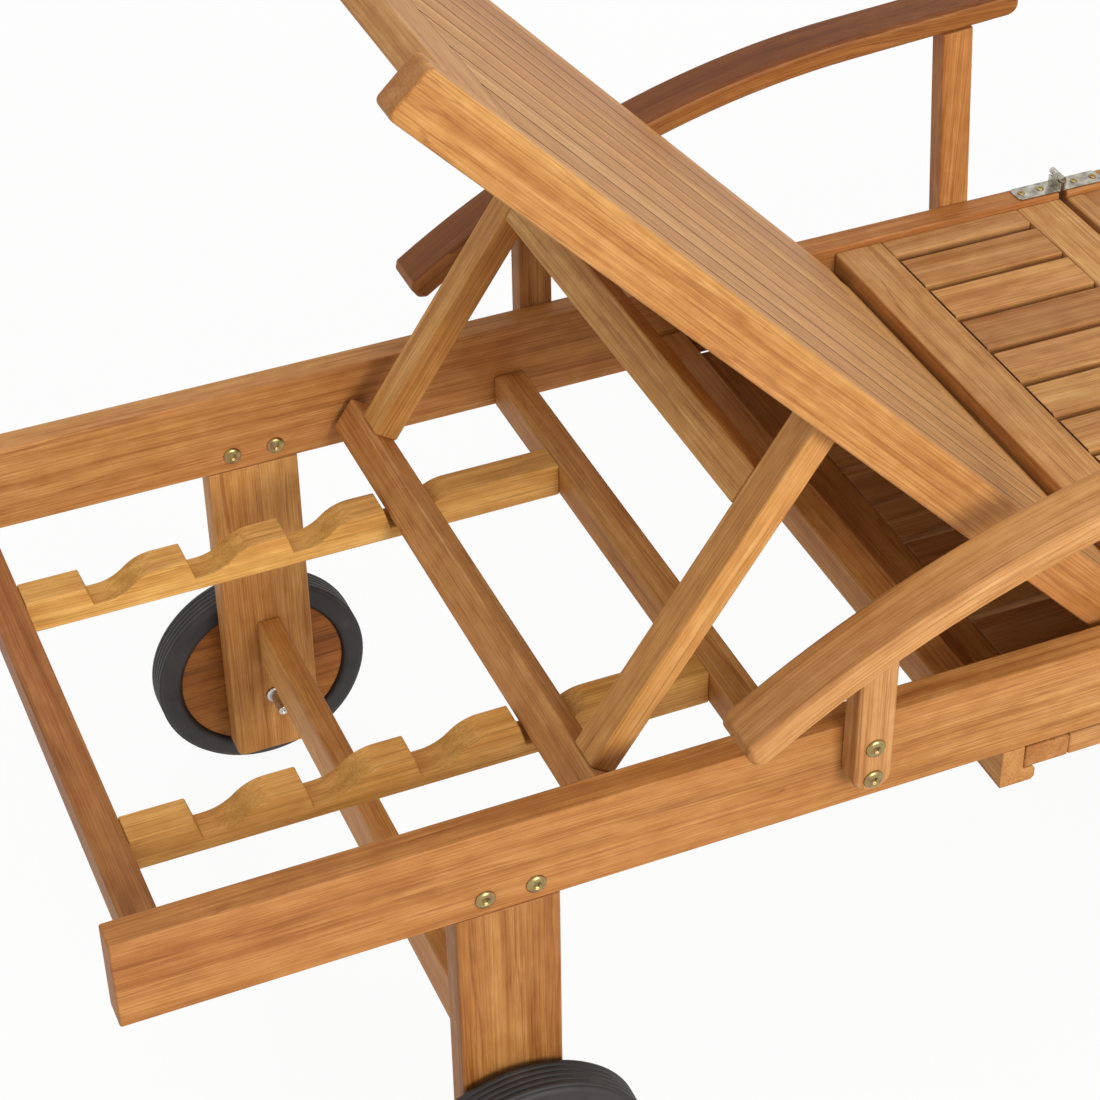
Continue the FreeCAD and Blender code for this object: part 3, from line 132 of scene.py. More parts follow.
def teak(name, pale, deep, streak, flush, sheen=0.5):
    """Planed teak that reads where a board lies in its log from its grain_at and board_is."""
    material, tree, shader = new_material(name)
    place = add(tree, "Attribute", attribute_name="grain_at").outputs["Vector"]
    board = add(tree, "Attribute", attribute_name="board_is").outputs["Vector"]
    look = add(tree, "SeparateXYZ", {0: board}).outputs
    # the log's own bends, some 8 mm over half a metre, turn straight rings into flames
    bend = along_grain(tree, place, (1.7, 8))
    lean = add(tree, "VectorMath", {0: bend.outputs["Color"], 1: (0.5, 0.5, 0.5)},
               operation="SUBTRACT")
    sway = add(tree, "VectorMath", {0: lean.outputs[0], "Scale": LOG_SWAY}, operation="SCALE")
    log = add(tree, "VectorMath", {0: place, 1: sway.outputs[0]}).outputs[0]
    # growth rings about the log's heart, each with a soft start and a dark end
    rings = add(tree, "TexWave", {"Vector": log, "Scale": RING_SCALE, "Distortion": 0},
                wave_type="RINGS", rings_direction="X", wave_profile="SAW").outputs["Fac"]
    ring_tone = ramp(tree, rings, [(0.0, 0.3), (0.5, 0.0), (0.9, 0.6), (1.0, 0.3)])
    patches = along_grain(tree, place, (1.1, 15)).outputs["Fac"]
    strength = ramp(tree, along_grain(tree, log, (1.5, 34)).outputs["Fac"],
                    [(0.42, 0.0), (0.72, 0.4)])
    # bands some 12 mm wide with a few thin dark late-wood lines among them
    bands = along_grain(tree, log, (1.0, 84), 5).outputs["Fac"]
    lines = ramp(tree, along_grain(tree, log, (0.9, 62), 3).outputs["Fac"],
                 [(0.395, 0.0), (0.405, 0.45), (0.42, 0.0),
                  (0.555, 0.0), (0.565, 0.5), (0.585, 0.0)])
    # a silky mottle across the grain, fibres of 1 mm and open pores, as fine as shows from afar
    mottle = along_grain(tree, place, (42, 95), 3).outputs["Fac"]
    fibres = along_grain(tree, place, (10, 900), 4).outputs["Fac"]
    pores = ramp(tree, along_grain(tree, place, (40, 1300), 2).outputs["Fac"],
                 [(0.6, 0.0), (0.7, 0.42)])
    # parts of a board flush redder than the rest
    reddened = along_grain(tree, place, (0.8, 11), 2).outputs["Color"]
    redness = add(tree, "SeparateColor", {0: reddened}).outputs[1]
    # the colours, laid over one another from the broadest to the finest
    body = mix(tree, ramp(tree, patches, [(0.3, 0.0), (0.7, 1.0)]), colour(pale), colour(deep))
    flushed = mix(tree, ramp(tree, redness, [(0.45, 0.0), (0.75, 0.7)]), body, colour(flush))
    band_tone = ramp(tree, bands, [(0.3, "#dccbb3"), (0.5, "#f6f0e5"), (0.68, "#ffffff")])
    banded = mix(tree, 1.0, flushed, band_tone, "MULTIPLY")
    ringed = mix(tree, mix(tree, 1.0, ring_tone, strength, "MULTIPLY"), banded, colour(streak))
    lined = mix(tree, lines, ringed, colour(streak))
    silk_tone = ramp(tree, mottle, [(0.3, "#ece2d5"), (0.7, "#ffffff")])
    silky = mix(tree, 1.0, lined, silk_tone, "MULTIPLY")
    fibre_tone = ramp(tree, fibres, [(0.32, "#dfd2c0"), (0.6, "#ffffff")])
    fibrous = mix(tree, 1.0, silky, fibre_tone, "MULTIPLY")
    porous = mix(tree, pores, fibrous, colour(streak))
    # each board's own shade, then its darker sawn ends, and painted shade where boards nearly touch
    # the shade also carries the painted shade of up-facing faces where a top is given
    board_and_top_shade = ramp(tree, look[SHADE], [(0.0, "#fff6e0"), (0.4, "#f8f0e2"), (0.8, "#e2d0ba"),
                                          (1.0, "#957660")])
    toned = mix(tree, 1.0, porous, board_and_top_shade, "MULTIPLY")
    end_tone = mix(tree, 1.0, look[END], END_STRENGTH, "MULTIPLY")
    sawn = mix(tree, end_tone, toned, colour(streak))
    # painted shade: a dark brown on the faces in the narrow gaps between boards
    gap_shaded = mix(tree, look[PAINTED_GAP_SHADE], sawn, colour("#3a200e"))
    grip = add(tree, "MapRange", {"Value": fibres, "To Min": sheen - 0.05, "To Max": sheen + 0.12})
    relief = add(tree, "Bump", {"Height": fibres, "Strength": 0.4, "Distance": 0.0004})
    tree.links.new(gap_shaded, shader.inputs["Base Color"])
    tree.links.new(grip.outputs[0], shader.inputs["Roughness"])
    tree.links.new(relief.outputs["Normal"], shader.inputs["Normal"])
    shader.inputs["Specular IOR Level"].default_value = 0.2
    return material


def clean_copy(node):
    """A CAD node's shape with its triangles welded into whole faces."""
    shape = bmesh.new()
    shape.from_mesh(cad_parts[node].data)
    bmesh.ops.remove_doubles(shape, verts=shape.verts, dist=WELD)
    bmesh.ops.join_triangles(shape, faces=shape.faces, angle_face_threshold=FLAT,
                             angle_shape_threshold=math.pi)
    return shape


def round_over(shape, edges, width, segments):
    """Rounds the given edges of a shape."""
    bmesh.ops.bevel(shape, geom=edges, offset=width, offset_type="OFFSET", segments=segments,
                    profile=0.5, affect="EDGES", material=-1)


def ease(shape, width, segments=3):
    """Rounds the sharp edges of a shape, but not the rims of fine holes."""
    sharp = [edge for edge in shape.edges if edge.is_manifold
             and edge.calc_face_angle(0) > CORNER and edge.calc_length() > FINE]
    round_over(shape, sharp, width, segments)


def boards_in(shape):
    """The separate boards of a shape, as lists of vertices, in the same order every time."""
    shape.verts.index_update()
    met = set()
    for start in shape.verts:
        if start in met:
            continue
        board = [start]
        met.add(start)
        for vertex in board:
            near = {edge.other_vert(vertex) for edge in vertex.link_edges} - met
            board.extend(sorted(near, key=lambda v: v.index))
            met |= near
        yield board


def lay_grain(shape, grain, name, bend=None, shade=None, top=None, gap_shade=(0, 0)):
    """Gives every board its own place in a log, its shade, and which faces are its sawn ends.

    A shade is from 0, pale, to 1, dark, and is drawn at random where none is given; top is the
    painted shade of the faces that look up. bend is the centre of a board sawn in a bow. grime is
    how much painted shade darkens the ends and the steep sides, where boards lie close together."""
    along = Vector(grain).normalized()
    beside = Vector((0, 0, 1)) if abs(along.z) < 0.9 else Vector((0, 1, 0))
    across = along.cross(beside).normalized()
    upward = across.cross(along)
    turn = Matrix((along, across, upward))
    grain_at = shape.verts.layers.float_vector.new("grain_at")
    board_is = shape.loops.layers.float_vector.new("board_is")
    shape.verts.ensure_lookup_table()
    shape.verts.index_update()
    shape.normal_update()
    pick = random.Random(name)
    for board in boards_in(shape):
        middle = sum((vertex.co for vertex in board), Vector()) / len(board)
        # how far along its log, to its side and above its heart the board was cut, in metres
        heart = Vector((pick.uniform(-4, 4), pick.uniform(-0.06, 0.06), pick.uniform(0.03, 0.13)))
        tone = pick.uniform(PALEST, DARKEST) if shade is None else shade
        for vertex in board:
            spot = turn @ (vertex.co - middle)
            if bend:
                spoke = vertex.co - bend
                reach = math.hypot(spoke.x, spoke.z)
                spot = Vector((math.atan2(spoke.x, spoke.z) * reach, spoke.y - middle.y,
                               reach - BOW))
            vertex[grain_at] = spot + heart
            for loop in vertex.link_loops:
                facing = turn @ loop.face.normal
                # painted shade on the ends and sides that face a close neighbour
                gap_dark = max(gap_shade[0] * (abs(facing.x) > LOOKS_THAT_WAY),
                            gap_shade[1] * (abs(facing.y) > LOOKS_THAT_WAY))
                cut = min(1, max(0, abs(facing.x) * END_GAIN - END_START))
                # faces that look up take top, a painted shade, in place of the board's own shade
                tone_with_top_shade = top if top and facing.z > LOOKS_THAT_WAY else tone
                loop[board_is] = Vector((gap_dark, cut, tone_with_top_shade))


def finish_piece(shape, name, body, material, slot, *nodes):
    """Makes the object, hands it to its body and lets it stand for its CAD nodes."""
    mesh = bpy.data.meshes.new(name)
    shape.to_mesh(mesh)
    shape.free()
    mesh.shade_smooth()
    piece = bpy.data.objects.new(name, mesh)
    bpy.context.scene.collection.objects.link(piece)
    piece.modifiers.new("even_faces", "WEIGHTED_NORMAL")
    piece.data.materials.append(material)
    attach(piece, body)
    if nodes:
        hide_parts(*nodes)
    return piece


def timber(node, body, grain, material, slot="teak", width=RAIL_EASE, bend=None, shade=None,
           top=None):
    """A shaped board: the CAD node's form with its sawn bevels rounded over."""
    shape = clean_copy(node)
    ease(shape, width)
    lay_grain(shape, grain, node, bend, shade, top)
    return finish_piece(shape, node + "_wood", body, material, slot, node)


def end_edges(shape, at_end):
    """The level edges of the end faces whose places along X pass a test."""
    return [edge for edge in shape.edges if all(at_end(vertex.co.x) for vertex in edge.verts)
            and edge.verts[0].co.z == edge.verts[1].co.z]


def boards(node, body, grain, material, slot="teak", width=RAIL_EASE, tilt=0, round_end=False,
           head_round=0, shade=None, gap_shade=(0, 0)):
    """Straight boards in the places of a CAD node's: sawn square, then rounded over by hand.

    tilt is how far they lean. A round end is a half circle at the upper end of a single board,
    and head_round softens the edges of its other end."""
    leaning = Matrix.Rotation(tilt, 4, "Y")
    rough = clean_copy(node)
    bmesh.ops.transform(rough, verts=rough.verts, matrix=leaning.inverted())
    shape = bmesh.new()
    for board in boards_in(rough):
        low = Vector([min(vertex.co[i] for vertex in board) for i in range(3)])
        high = Vector([max(vertex.co[i] for vertex in board) for i in range(3)])
        blank = bmesh.ops.create_cube(shape, size=1)["verts"]
        bmesh.ops.scale(shape, verts=blank, vec=high - low)
        bmesh.ops.translate(shape, verts=blank, vec=(low + high) / 2)
    rough.free()
    if round_end:
        tip = max(vertex.co.x for vertex in shape.verts)
        round_over(shape, end_edges(shape, lambda x: x > tip - WELD), (high.z - low.z) / 2, 10)
        bmesh.ops.remove_doubles(shape, verts=shape.verts, dist=WELD)
    if head_round:
        head = min(vertex.co.x for vertex in shape.verts)
        round_over(shape, end_edges(shape, lambda x: x < head + WELD), head_round, 5)
    ease(shape, width)
    bmesh.ops.transform(shape, verts=shape.verts, matrix=leaning)
    lay_grain(shape, grain, node, shade=shade, gap_shade=gap_shade)
    return finish_piece(shape, node + "_wood", body, material, slot, node)


LENGTHWISE, CROSSWISE, UPRIGHT = (1, 0, 0), (0, 1, 0), (0, 0, 1)
planed_teak = teak("oiled_planed_teak", "#e3bb80", "#cf9b5e", "#93592a", "#c98c60")
for side in ("near", "far"):
    boards(f"rail_{side}", "frame", LENGTHWISE, planed_teak)

# ---------------------------------------------------------------- cross rails and racks
# Three square rails tie the head section together. Between the first two lie the toothed racks,
# sawn from flat stock, whose notches hold the prop's foot bar; their tops are sanded round.
RACK_ROUND = 0.0012
for node, shade in (("head_cross_rail", 0.85), ("rack_cross_rail", 0.3), ("pivot_cross_rail", 0.5)):
    boards(node, "frame", CROSSWISE, planed_teak, shade=shade)
sanded_teak = teak("oiled_sanded_teak", "#f0cb86", "#e2b26c", "#9c7424", "#d8a468")
for side in ("near", "far"):
    timber(f"rack_{side}", "frame", LENGTHWISE, sanded_teak, width=RACK_ROUND, shade=0.1)

# ---------------------------------------------------------------- legs and stretchers
# Flat planks tenoned up into the rails, and a stretcher between each pair of legs.
LEG_EASE = 0.001
for side, shade in (("near", 0.85), ("far", 0.4)):
    timber(f"wheel_leg_{side}", "frame", UPRIGHT, planed_teak, width=LEG_EASE, shade=shade)
timber("mid_legs", "frame", UPRIGHT, planed_teak, width=LEG_EASE)
timber("foot_legs", "foot_section", UPRIGHT, planed_teak, width=LEG_EASE)
for node, body in (("wheel_stretcher", "frame"), ("mid_stretcher", "frame"),
                   ("foot_stretcher", "foot_section")):
    boards(node, body, CROSSWISE, planed_teak, shade=0.1)

# ---------------------------------------------------------------- seat and foot panels
# Each is a frame of four stiles round nine slats, all of a paler teak than the rails, with
# rounded edges. The ends of the slats carry painted shade where they meet the stiles.
SLAT_EASE = 0.0021
slat_teak = teak("oiled_slat_teak", "#dfb986", "#cd9f6a", "#945f33", "#c0906b", sheen=0.55)
for prefix, body in (("seat", "frame"), ("foot", "foot_section")):
    boards(f"{prefix}_end_stiles", body, CROSSWISE, slat_teak, "teak_slat", SLAT_EASE)
    boards(f"{prefix}_side_stiles", body, LENGTHWISE, slat_teak, "teak_slat", SLAT_EASE)
    boards(f"{prefix}_slats", body, LENGTHWISE, slat_teak, "teak_slat", SLAT_EASE, gap_shade=(1, 0))
for side in ("near", "far"):
    boards(f"foot_rail_{side}", "foot_section", LENGTHWISE, planed_teak)

# ---------------------------------------------------------------- armrests and posts
# Each armrest is band-sawn from one wide board in a long bow, and stands on two posts. The near
# one and the rear posts are of the panels' paler teak, and the far one is a dark board whose top
# faces carry painted shade, darker than its sides.
ARM_EASE = 0.0015
BOW, BOW_CENTRE = 0.82, Vector((-0.042, 0, -0.196))  # radius and centre of the bow
for side, wood, shade, top in (("near", slat_teak, 0, None), ("far", planed_teak, 0.88, 1)):
    timber(f"armrest_{side}", "frame", LENGTHWISE, wood, width=ARM_EASE, bend=BOW_CENTRE,
           shade=shade, top=top)
timber("rear_posts", "frame", UPRIGHT, slat_teak, width=LEG_EASE)
timber("front_posts", "frame", UPRIGHT, planed_teak, width=LEG_EASE)

# ---------------------------------------------------------------- tilting back
# Two side rails, a stile at each end and nine slats laid close together, as one hinged frame.
# Its gaps are so narrow that painted shade darkens the slats' sides and ends.
BACK_TILT = math.radians(46)
UP_THE_BACK = (-math.cos(BACK_TILT), 0, math.sin(BACK_TILT))
GAP_EASE, HEAD_ROUND = 0.0013, 0.0052
for side in ("near", "far"):
    boards(f"back_rail_{side}", "back", UP_THE_BACK, planed_teak, tilt=BACK_TILT, round_end=True,
           head_round=HEAD_ROUND)
for node in ("back_bottom_stile", "back_top_stile"):
    boards(node, "back", CROSSWISE, slat_teak, "teak_slat", GAP_EASE, tilt=BACK_TILT)
boards("back_slats", "back", UP_THE_BACK, slat_teak, "teak_slat", GAP_EASE, tilt=BACK_TILT,
       gap_shade=(1, 1))

# ---------------------------------------------------------------- prop
# Two arms, hung on the back's rails, joined by a tie bar and by the foot bar that drops into
# the racks' notches. The bar is left whole, so the racks' teeth pass through it on its way down.
PROP_ANGLE = math.radians(55.98)
UP_THE_PROP = (math.cos(PROP_ANGLE), 0, math.sin(PROP_ANGLE))
for side in ("near", "far"):
    boards(f"prop_arm_{side}", "prop", UP_THE_PROP, planed_teak, tilt=-PROP_ANGLE, round_end=True)
boards("prop_tie_bar", "prop", CROSSWISE, planed_teak, tilt=-PROP_ANGLE)
BAR_DEEP, BAR_THICK, BAR_ROUND = 0.0314, 0.0223, 0.0026
bar_low, bar_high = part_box("prop_foot_bar")
foot_bar = bmesh.new()
bmesh.ops.create_cube(foot_bar, size=1)
bmesh.ops.scale(foot_bar, verts=foot_bar.verts, vec=(BAR_DEEP, bar_high.y - bar_low.y, BAR_THICK))
ease(foot_bar, BAR_ROUND)
bmesh.ops.transform(foot_bar, verts=foot_bar.verts,
                    matrix=Matrix.Translation((bar_low + bar_high) / 2)
                    @ Matrix.Rotation(-PROP_ANGLE, 4, "Y"))
lay_grain(foot_bar, CROSSWISE, "foot bar")
finish_piece(foot_bar, "foot_bar_wood", "prop", planed_teak, "teak", "prop_foot_bar")

# ---------------------------------------------------------------- tray and runners
# A slatted tray that slides out to the near side on two rebated runners under the rails.
timber("tray_runner_head", "frame", CROSSWISE, planed_teak, width=ARM_EASE / 2)
timber("tray_runner_foot", "frame", CROSSWISE, planed_teak, width=ARM_EASE / 2)
boards("tray_side_bars", "tray", CROSSWISE, planed_teak)
boards("tray_end_bars", "tray", LENGTHWISE, slat_teak, "teak_slat", SLAT_EASE)
boards("tray_slats", "tray", LENGTHWISE, slat_teak, "teak_slat", SLAT_EASE)

# ---------------------------------------------------------------- wheels
# A disc turned from a wide board carries a solid rubber tyre, moulded with a ribbed tread and
# slightly hollow side walls. Rubber is near black, matt and dusty in its grooves.
RIBS, GROOVE, TREAD_EDGE = 5, 0.0016, 0.0125
TURNED_STEPS = 96
DISC_EASE = 0.0012
rubber, rubber_tree, rubber_shader = new_material("moulded_black_rubber")
on_tyre = add(rubber_tree, "TexCoord").outputs["Object"]
dust = add(rubber_tree, "TexNoise", {"Vector": on_tyre, "Scale": 45, "Detail": 5,
                                     "Roughness": 0.6})
dusty = ramp(rubber_tree, dust.outputs["Fac"], [(0.35, "#1e1a19"), (0.6, "#2a2523"),
                                                (0.8, "#3f3631")])
rubber_tree.links.new(dusty, rubber_shader.inputs["Base Color"])
grit = add(rubber_tree, "TexNoise", {"Vector": on_tyre, "Scale": 900, "Detail": 2})
pitted = add(rubber_tree, "Bump", {"Height": grit.outputs["Fac"], "Strength": 0.25,
                                   "Distance": 0.0003})
rubber_tree.links.new(pitted.outputs["Normal"], rubber_shader.inputs["Normal"])
rubber_shader.inputs["Roughness"].default_value = 0.6
turned_teak = teak("oiled_turned_teak", "#dda660", "#a96c36", "#4a260f", "#b97c42", sheen=0.45)


def tyre_section(bead, crown, half):
    """A tyre's section as (radius, distance from its mid plane) points, all the way round.

    bead and crown are its inner and outer radius, and half is half its width."""
    # from the bead the side wall swells, goes slightly hollow and turns into the tread
    wall = [(bead, half * 0.72), (bead + 0.0022, half * 0.93), (bead + 0.0060, half),
            (bead + 0.0115, half * 0.97), (crown - 0.0062, half), (crown - 0.0024, half * 0.95),
            (crown - GROOVE, TREAD_EDGE)]
    pitch = 2 * TREAD_EDGE / RIBS
    slope = GROOVE * 0.4
    tread = []
    for rib in range(RIBS):
        top = TREAD_EDGE - rib * pitch
        tread += [(crown, top - slope), (crown, top - pitch + slope * 2),
                  (crown - GROOVE, top - pitch + slope), (crown - GROOVE, top - pitch)]
    return wall + tread[:-1] + [(r, -y) for r, y in reversed(wall)]


for side in ("near", "far"):
    tyre_low, tyre_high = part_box(f"tyre_{side}")
    disc_low, disc_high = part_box(f"wheel_disc_{side}")
    axle = (tyre_low + tyre_high) / 2
    tyre = bmesh.new()
    points = tyre_section((disc_high.x - disc_low.x) / 2, (tyre_high.x - tyre_low.x) / 2,
                          (tyre_high.y - tyre_low.y) / 2)
    ring = [tyre.verts.new(axle + Vector((radius, offset, 0))) for radius, offset in points]
    loop = [tyre.edges.new(pair) for pair in zip(ring, ring[1:] + ring[:1])]
    bmesh.ops.spin(tyre, geom=ring + loop, cent=axle, axis=(0, 1, 0), angle=2 * math.pi,
                   steps=TURNED_STEPS, use_merge=True)
    bmesh.ops.remove_doubles(tyre, verts=tyre.verts, dist=WELD)
    bmesh.ops.recalc_face_normals(tyre, faces=tyre.faces)
    finish_piece(tyre, f"rubber_tyre_{side}", f"wheel_{side}", rubber, "tyre", f"tyre_{side}")
    timber(f"wheel_disc_{side}", f"wheel_{side}", LENGTHWISE, turned_teak, width=DISC_EASE)

# ---------------------------------------------------------------- bolts, nuts and screws
# Steel bolts with low round heads and a hex socket, zinc plated and passivated yellow: a warm
# metal with faint pink and green patches, brighter on the rims.
ROUND = 24                          # sides of a turned outline
SOCKET, SOCKET_DEEP = 0.0030, 0.0021
BOLT_SHANK, PIVOT_SHANK = 0.0030, 0.0040
# a low domed head, as shares of its radius and depth from its face out to its rim
DOME = ((0.5, 0), (0.66, 0), (0.84, 0.2), (0.96, 0.5), (1, 0.75), (1, 1))
zinc, zinc_tree, zinc_shader = new_material("yellow_passivated_zinc")
on_bolt = add(zinc_tree, "TexCoord").outputs["Object"]
film = add(zinc_tree, "TexNoise", {"Vector": on_bolt, "Scale": 160, "Detail": 2})
film_tone = ramp(zinc_tree, film.outputs["Fac"], [(0.3, "#9a6f5c"), (0.45, "#9c8455"),
                                                  (0.6, "#a8955f"), (0.75, "#74764c")])
zinc_tree.links.new(film_tone, zinc_shader.inputs["Base Color"])
scuffs = add(zinc_tree, "TexNoise", {"Vector": on_bolt, "Scale": 700, "Detail": 3})
rubbed = add(zinc_tree, "MapRange", {"Value": scuffs.outputs["Fac"], "To Min": 0.2,
                                     "To Max": 0.42})
zinc_tree.links.new(rubbed.outputs[0], zinc_shader.inputs["Roughness"])
zinc_shader.inputs["Metallic"].default_value = 1


def hexagon(turn):
    """Distance to a hexagon's side, as a share of its corner radius, at a turn from a corner."""
    return math.cos(math.pi / 6) / math.cos(turn % (math.pi / 3) - math.pi / 6)


def cross(turn):
    """The outline of a crosshead recess in the same way."""
    return 0.3 + 0.7 * abs(math.cos(2 * turn)) ** 4


def circle(turn):
    """A plain round outline in the same way."""
    return 1


def stud(shape, tip, outward, recess, width, steps):
    """A turned piece with a recess in its face.

    recess is the recess's outline and width its corner radius; steps are the (radius, depth
    below the face) of the round outlines that follow it."""
    outlines = [(recess, width, SOCKET_DEEP), (recess, width, 0)]
    outlines += [(circle, radius, depth) for radius, depth in steps]
    made = []
    for form, radius, depth in outlines:
        if not made:
            ring = bmesh.ops.create_circle(shape, cap_ends=True, segments=ROUND, radius=1)["verts"]
            edges = list(dict.fromkeys(edge for vertex in ring for edge in vertex.link_edges))
        else:
            grown = bmesh.ops.extrude_edge_only(shape, edges=edges)["geom"]
            ring = [item for item in grown if isinstance(item, bmesh.types.BMVert)]
            edges = [item for item in grown if isinstance(item, bmesh.types.BMEdge)
                     and set(item.verts) <= set(ring)]
        for vertex in ring:
            turn = math.atan2(vertex.co.y, vertex.co.x)
            reach = radius * form(turn % (2 * math.pi))
            vertex.co = (reach * math.cos(turn), reach * math.sin(turn), -depth)
        made += ring
    bmesh.ops.contextual_create(shape, geom=edges)
    place = Matrix.Translation(tip) @ Vector(outward).to_track_quat("Z", "Y").to_matrix().to_4x4()
    bmesh.ops.transform(shape, verts=made, matrix=place)


def bolt_row(node, body, facing, recess=hexagon, width=SOCKET, shank=BOLT_SHANK,
             vertical=False):
    """Detailed bolts in the places of a CAD node's plain ones.

    facing is 1 for heads that face out and -1 for ones that face in; vertical ones face up."""
    plain = clean_copy(node)
    shape = bmesh.new()
    for piece in boards_in(plain):
        low = Vector([min(v.co[i] for v in piece) for i in range(3)])
        high = Vector([max(v.co[i] for v in piece) for i in range(3)])
        middle = (low + high) / 2
        radius = (high.x - low.x) / 2
        side = math.copysign(facing, middle.y * facing)
        long = (high.z - low.z) if vertical else (high.y - low.y)
        head = min(radius / 3, long)  # a head is a third of its radius deep
        tip = Vector((middle.x, high.y if side > 0 else low.y, middle.z))
        outward = (0, side, 0)
        if vertical:
            tip, outward = Vector((middle.x, middle.y, high.z)), (0, 0, 1)
        steps = [(radius * wide, head * deep) for wide, deep in DOME]
        if long > head * 1.5:
            steps += [(shank, head), (shank, long)]
        stud(shape, tip, outward, recess, width, steps)
    plain.free()
    bmesh.ops.recalc_face_normals(shape, faces=shape.faces)
    return finish_piece(shape, node + "_detailed", body, zinc, "zinc_steel", node)


for node, body, facing in (("leg_bolts", "frame", 1), ("leg_nuts", "frame", -1),
                           ("foot_leg_bolts", "foot_section", 1),
                           ("foot_leg_nuts", "foot_section", -1), ("post_bolts", "frame", 1)):
    bolt_row(node, body, facing)
for node, body, facing in (("pivot_bolts", "frame", 1), ("prop_bolts", "back", -1),
                           ("axle_bolts", "frame", 1)):
    bolt_row(node, body, facing, shank=PIVOT_SHANK)


def metalwork(node, body, material, slot, width):
    """A small metal part: the CAD node's form with its stamped or turned edges eased."""
    shape = clean_copy(node)
    ease(shape, width, 2)
    return finish_piece(shape, node + "_detailed", body, material, slot, node)


METAL_EASE = 0.0004
for node in ("axle_spacers", "pivot_spacers"):
    metalwork(node, "frame", zinc, "zinc_steel", METAL_EASE)

# Each axle bolt screws into a long sleeve nut of bright zinc, whose thin barrel stands out of
# the leg on a small flange and ends in a socket for the key.
BARREL, FLANGE, FLANGE_THICK = 0.0044, 0.0078, 0.0030
bright, bright_tree, bright_shader = new_material("bright_zinc_plate")
on_nut = add(bright_tree, "TexCoord").outputs["Object"]
turned = add(bright_tree, "TexNoise", {"Vector": on_nut, "Scale": 500, "Detail": 3})
shine = add(bright_tree, "MapRange", {"Value": turned.outputs["Fac"], "To Min": 0.18,
                                      "To Max": 0.4})
bright_tree.links.new(shine.outputs[0], bright_shader.inputs["Roughness"])
nut_tone = ramp(bright_tree, turned.outputs["Fac"], [(0.35, "#b9b5ac"), (0.65, "#d4d1ca")])
bright_tree.links.new(nut_tone, bright_shader.inputs["Base Color"])
bright_shader.inputs["Metallic"].default_value = 1
nuts_low, nuts_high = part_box("axle_nuts")
sleeves = bmesh.new()
plain = clean_copy("axle_nuts")
for piece in boards_in(plain):
    near_end, far_end = min(v.co.y for v in piece), max(v.co.y for v in piece)
    inward = 1 if near_end < 0 else -1
    tip = Vector(((nuts_low.x + nuts_high.x) / 2, far_end if inward > 0 else near_end,
                  (nuts_low.z + nuts_high.z) / 2))
    long = far_end - near_end
    stud(sleeves, tip, (0, inward, 0), hexagon, SOCKET,
         [(BARREL * 0.9, 0), (BARREL, 0.0006), (BARREL, long - FLANGE_THICK),
          (FLANGE * 0.94, long - FLANGE_THICK), (FLANGE, long - FLANGE_THICK * 0.7),
          (FLANGE, long)])
plain.free()
bmesh.ops.recalc_face_normals(sleeves, faces=sleeves.faces)
finish_piece(sleeves, "axle_sleeve_nuts", "frame", bright, "zinc_steel", "axle_nuts")

# ---------------------------------------------------------------- fold hinges
# Two stamped steel hinges on top of the rails let the foot section fold over the seat: leaves
# with upright ears, riveted pins and crosshead screws. Dull zinc plate, grey with an olive cast.
CROSS_WIDE, SCREW_SHANK = 0.0020, 0.0018
plate, plate_tree, plate_shader = new_material("zinc_plated_hinge")
on_hinge = add(plate_tree, "TexCoord").outputs["Object"]
cloud = add(plate_tree, "TexNoise", {"Vector": on_hinge, "Scale": 120, "Detail": 3})
spangle = ramp(plate_tree, cloud.outputs["Fac"], [(0.35, "#8a8578"), (0.5, "#aca798"),
                                                  (0.65, "#c8c5ba")])
plate_tree.links.new(spangle, plate_shader.inputs["Base Color"])
scratch = add(plate_tree, "TexNoise", {"Vector": on_hinge, "Scale": 600, "Detail": 3})
dulled = add(plate_tree, "MapRange", {"Value": scratch.outputs["Fac"], "To Min": 0.25,
                                      "To Max": 0.5})
plate_tree.links.new(dulled.outputs[0], plate_shader.inputs["Roughness"])
plate_shader.inputs["Metallic"].default_value = 1
for node, body in (("hinge_head_leaves", "frame"), ("hinge_foot_leaves", "foot_section"),
                   ("hinge_pins", "frame")):
    metalwork(node, body, plate, "hinge_plate", METAL_EASE)
for node, body in (("hinge_head_screws", "frame"), ("hinge_foot_screws", "foot_section")):
    bolt_row(node, body, 1, cross, CROSS_WIDE, SCREW_SHANK, vertical=True)

# ---------------------------------------------------------------- floor and light
# A plain white floor that keeps a faint shadow, under two broad soft lamps and a pale sky. What
# the camera, a reflection or a clear thing sees of them is white, and the rest lights the lounger.
FLOOR_REACH, FLOOR_GAP = 20, 0.001
WHITE_SHARE = 0.94                 # how much of the floor's look is plain white
SKY_LIGHT = 0.75
LAMPS_AIM = Vector((-0.2, 0, 0.4))


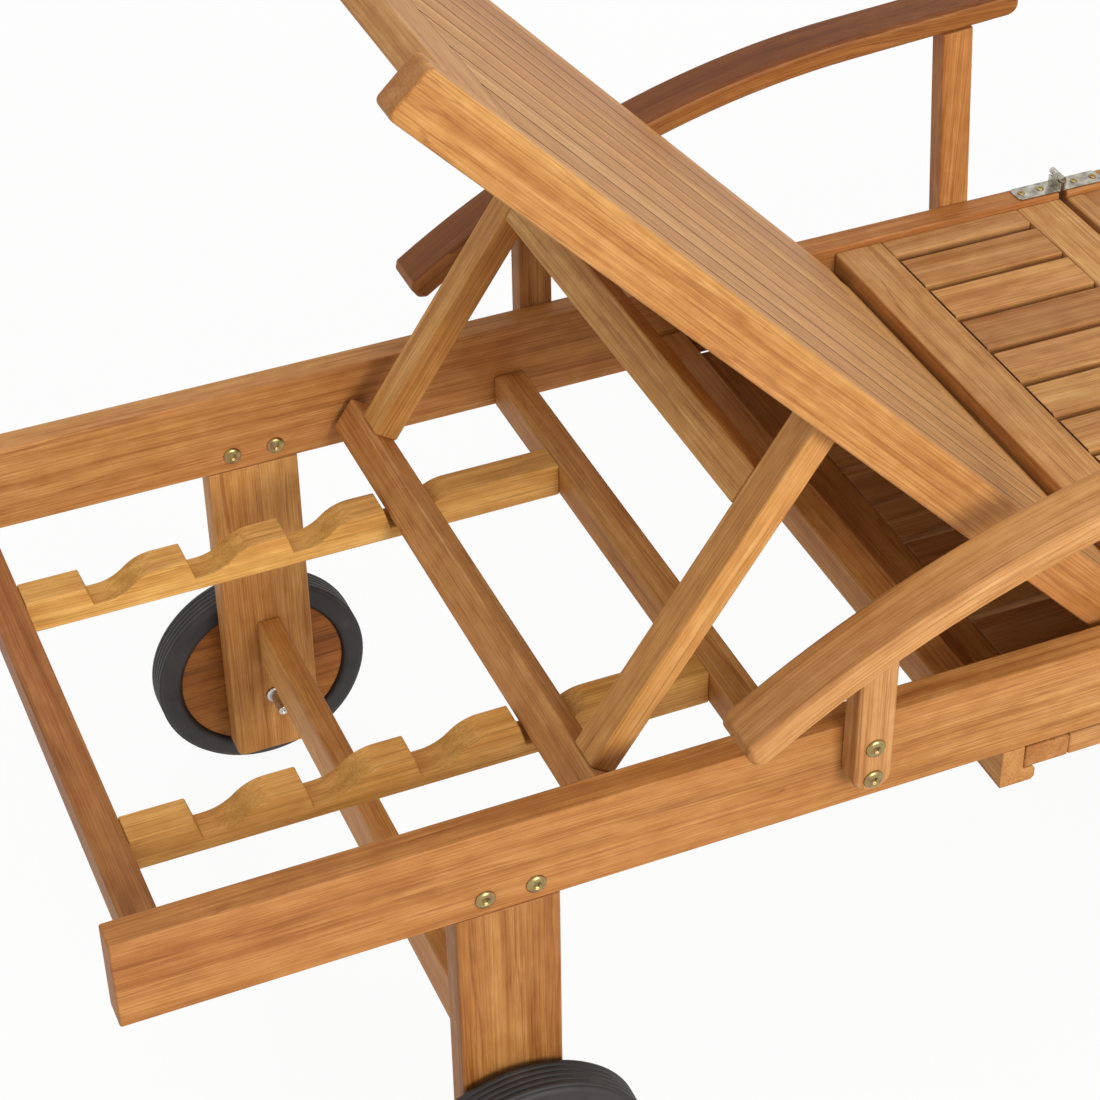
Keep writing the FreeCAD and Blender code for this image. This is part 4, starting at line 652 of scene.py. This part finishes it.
def direct_rays(tree):
    """1 for rays that look at the surroundings, 0 for those that carry their light."""
    seen = add(tree, "LightPath")
    mirrored = add(tree, "Math", {0: seen.outputs["Is Glossy Ray"],
                                  1: seen.outputs["Is Transmission Ray"]}, operation="MAXIMUM")
    return add(tree, "Math", {0: seen.outputs["Is Camera Ray"], 1: mirrored.outputs[0]},
               operation="MAXIMUM").outputs[0]


floor_material, floor_tree, floor_shader = new_material("white_paper_floor")
floor_shader.inputs["Base Color"].default_value = colour("#e4e2de")
floor_shader.inputs["Roughness"].default_value = 0.9
glow = add(floor_tree, "Emission", {"Color": (1, 1, 1, 1), "Strength": 1})
share = add(floor_tree, "Math", {0: direct_rays(floor_tree), 1: WHITE_SHARE},
            operation="MULTIPLY")
blended = add(floor_tree, "MixShader", {0: share.outputs[0], 1: floor_shader.outputs[0],
                                        2: glow.outputs[0]})
floor_tree.links.new(blended.outputs[0], floor_tree.nodes["Material Output"].inputs["Surface"])
floor_shape = bmesh.new()
bmesh.ops.create_grid(floor_shape, x_segments=1, y_segments=1, size=FLOOR_REACH)
floor_mesh = bpy.data.meshes.new("floor")
floor_shape.to_mesh(floor_mesh)
floor_shape.free()
floor = bpy.data.objects.new("floor", floor_mesh)
floor_mesh.materials.append(floor_material)
bpy.context.scene.collection.objects.link(floor)
floor.location.z = -FLOOR_GAP

world = bpy.data.worlds.new("studio")
bpy.context.scene.world = world
world.use_nodes = True
sky = world.node_tree
level = add(sky, "MapRange", {"Value": direct_rays(sky), "To Min": SKY_LIGHT, "To Max": 1.0})
sky.links.new(level.outputs[0], sky.nodes["Background"].inputs["Strength"])
sky.nodes["Background"].inputs["Color"].default_value = (1, 1, 1, 1)

for name, place, wide, power in (("key_lamp", (0.5, -5.0, 2.5), 2.0, 215),
                                 ("top_lamp", (-0.2, 0.3, 3.6), 2.8, 22)):
    lamp = bpy.data.objects.new(name, bpy.data.lights.new(name, "AREA"))
    lamp.data.size = wide
    lamp.data.energy = power
    lamp.location = place
    lamp.rotation_euler = (LAMPS_AIM - Vector(place)).to_track_quat("-Z", "Y").to_euler()
    bpy.context.scene.collection.objects.link(lamp)

bpy.context.scene.view_settings.view_transform = "Standard"
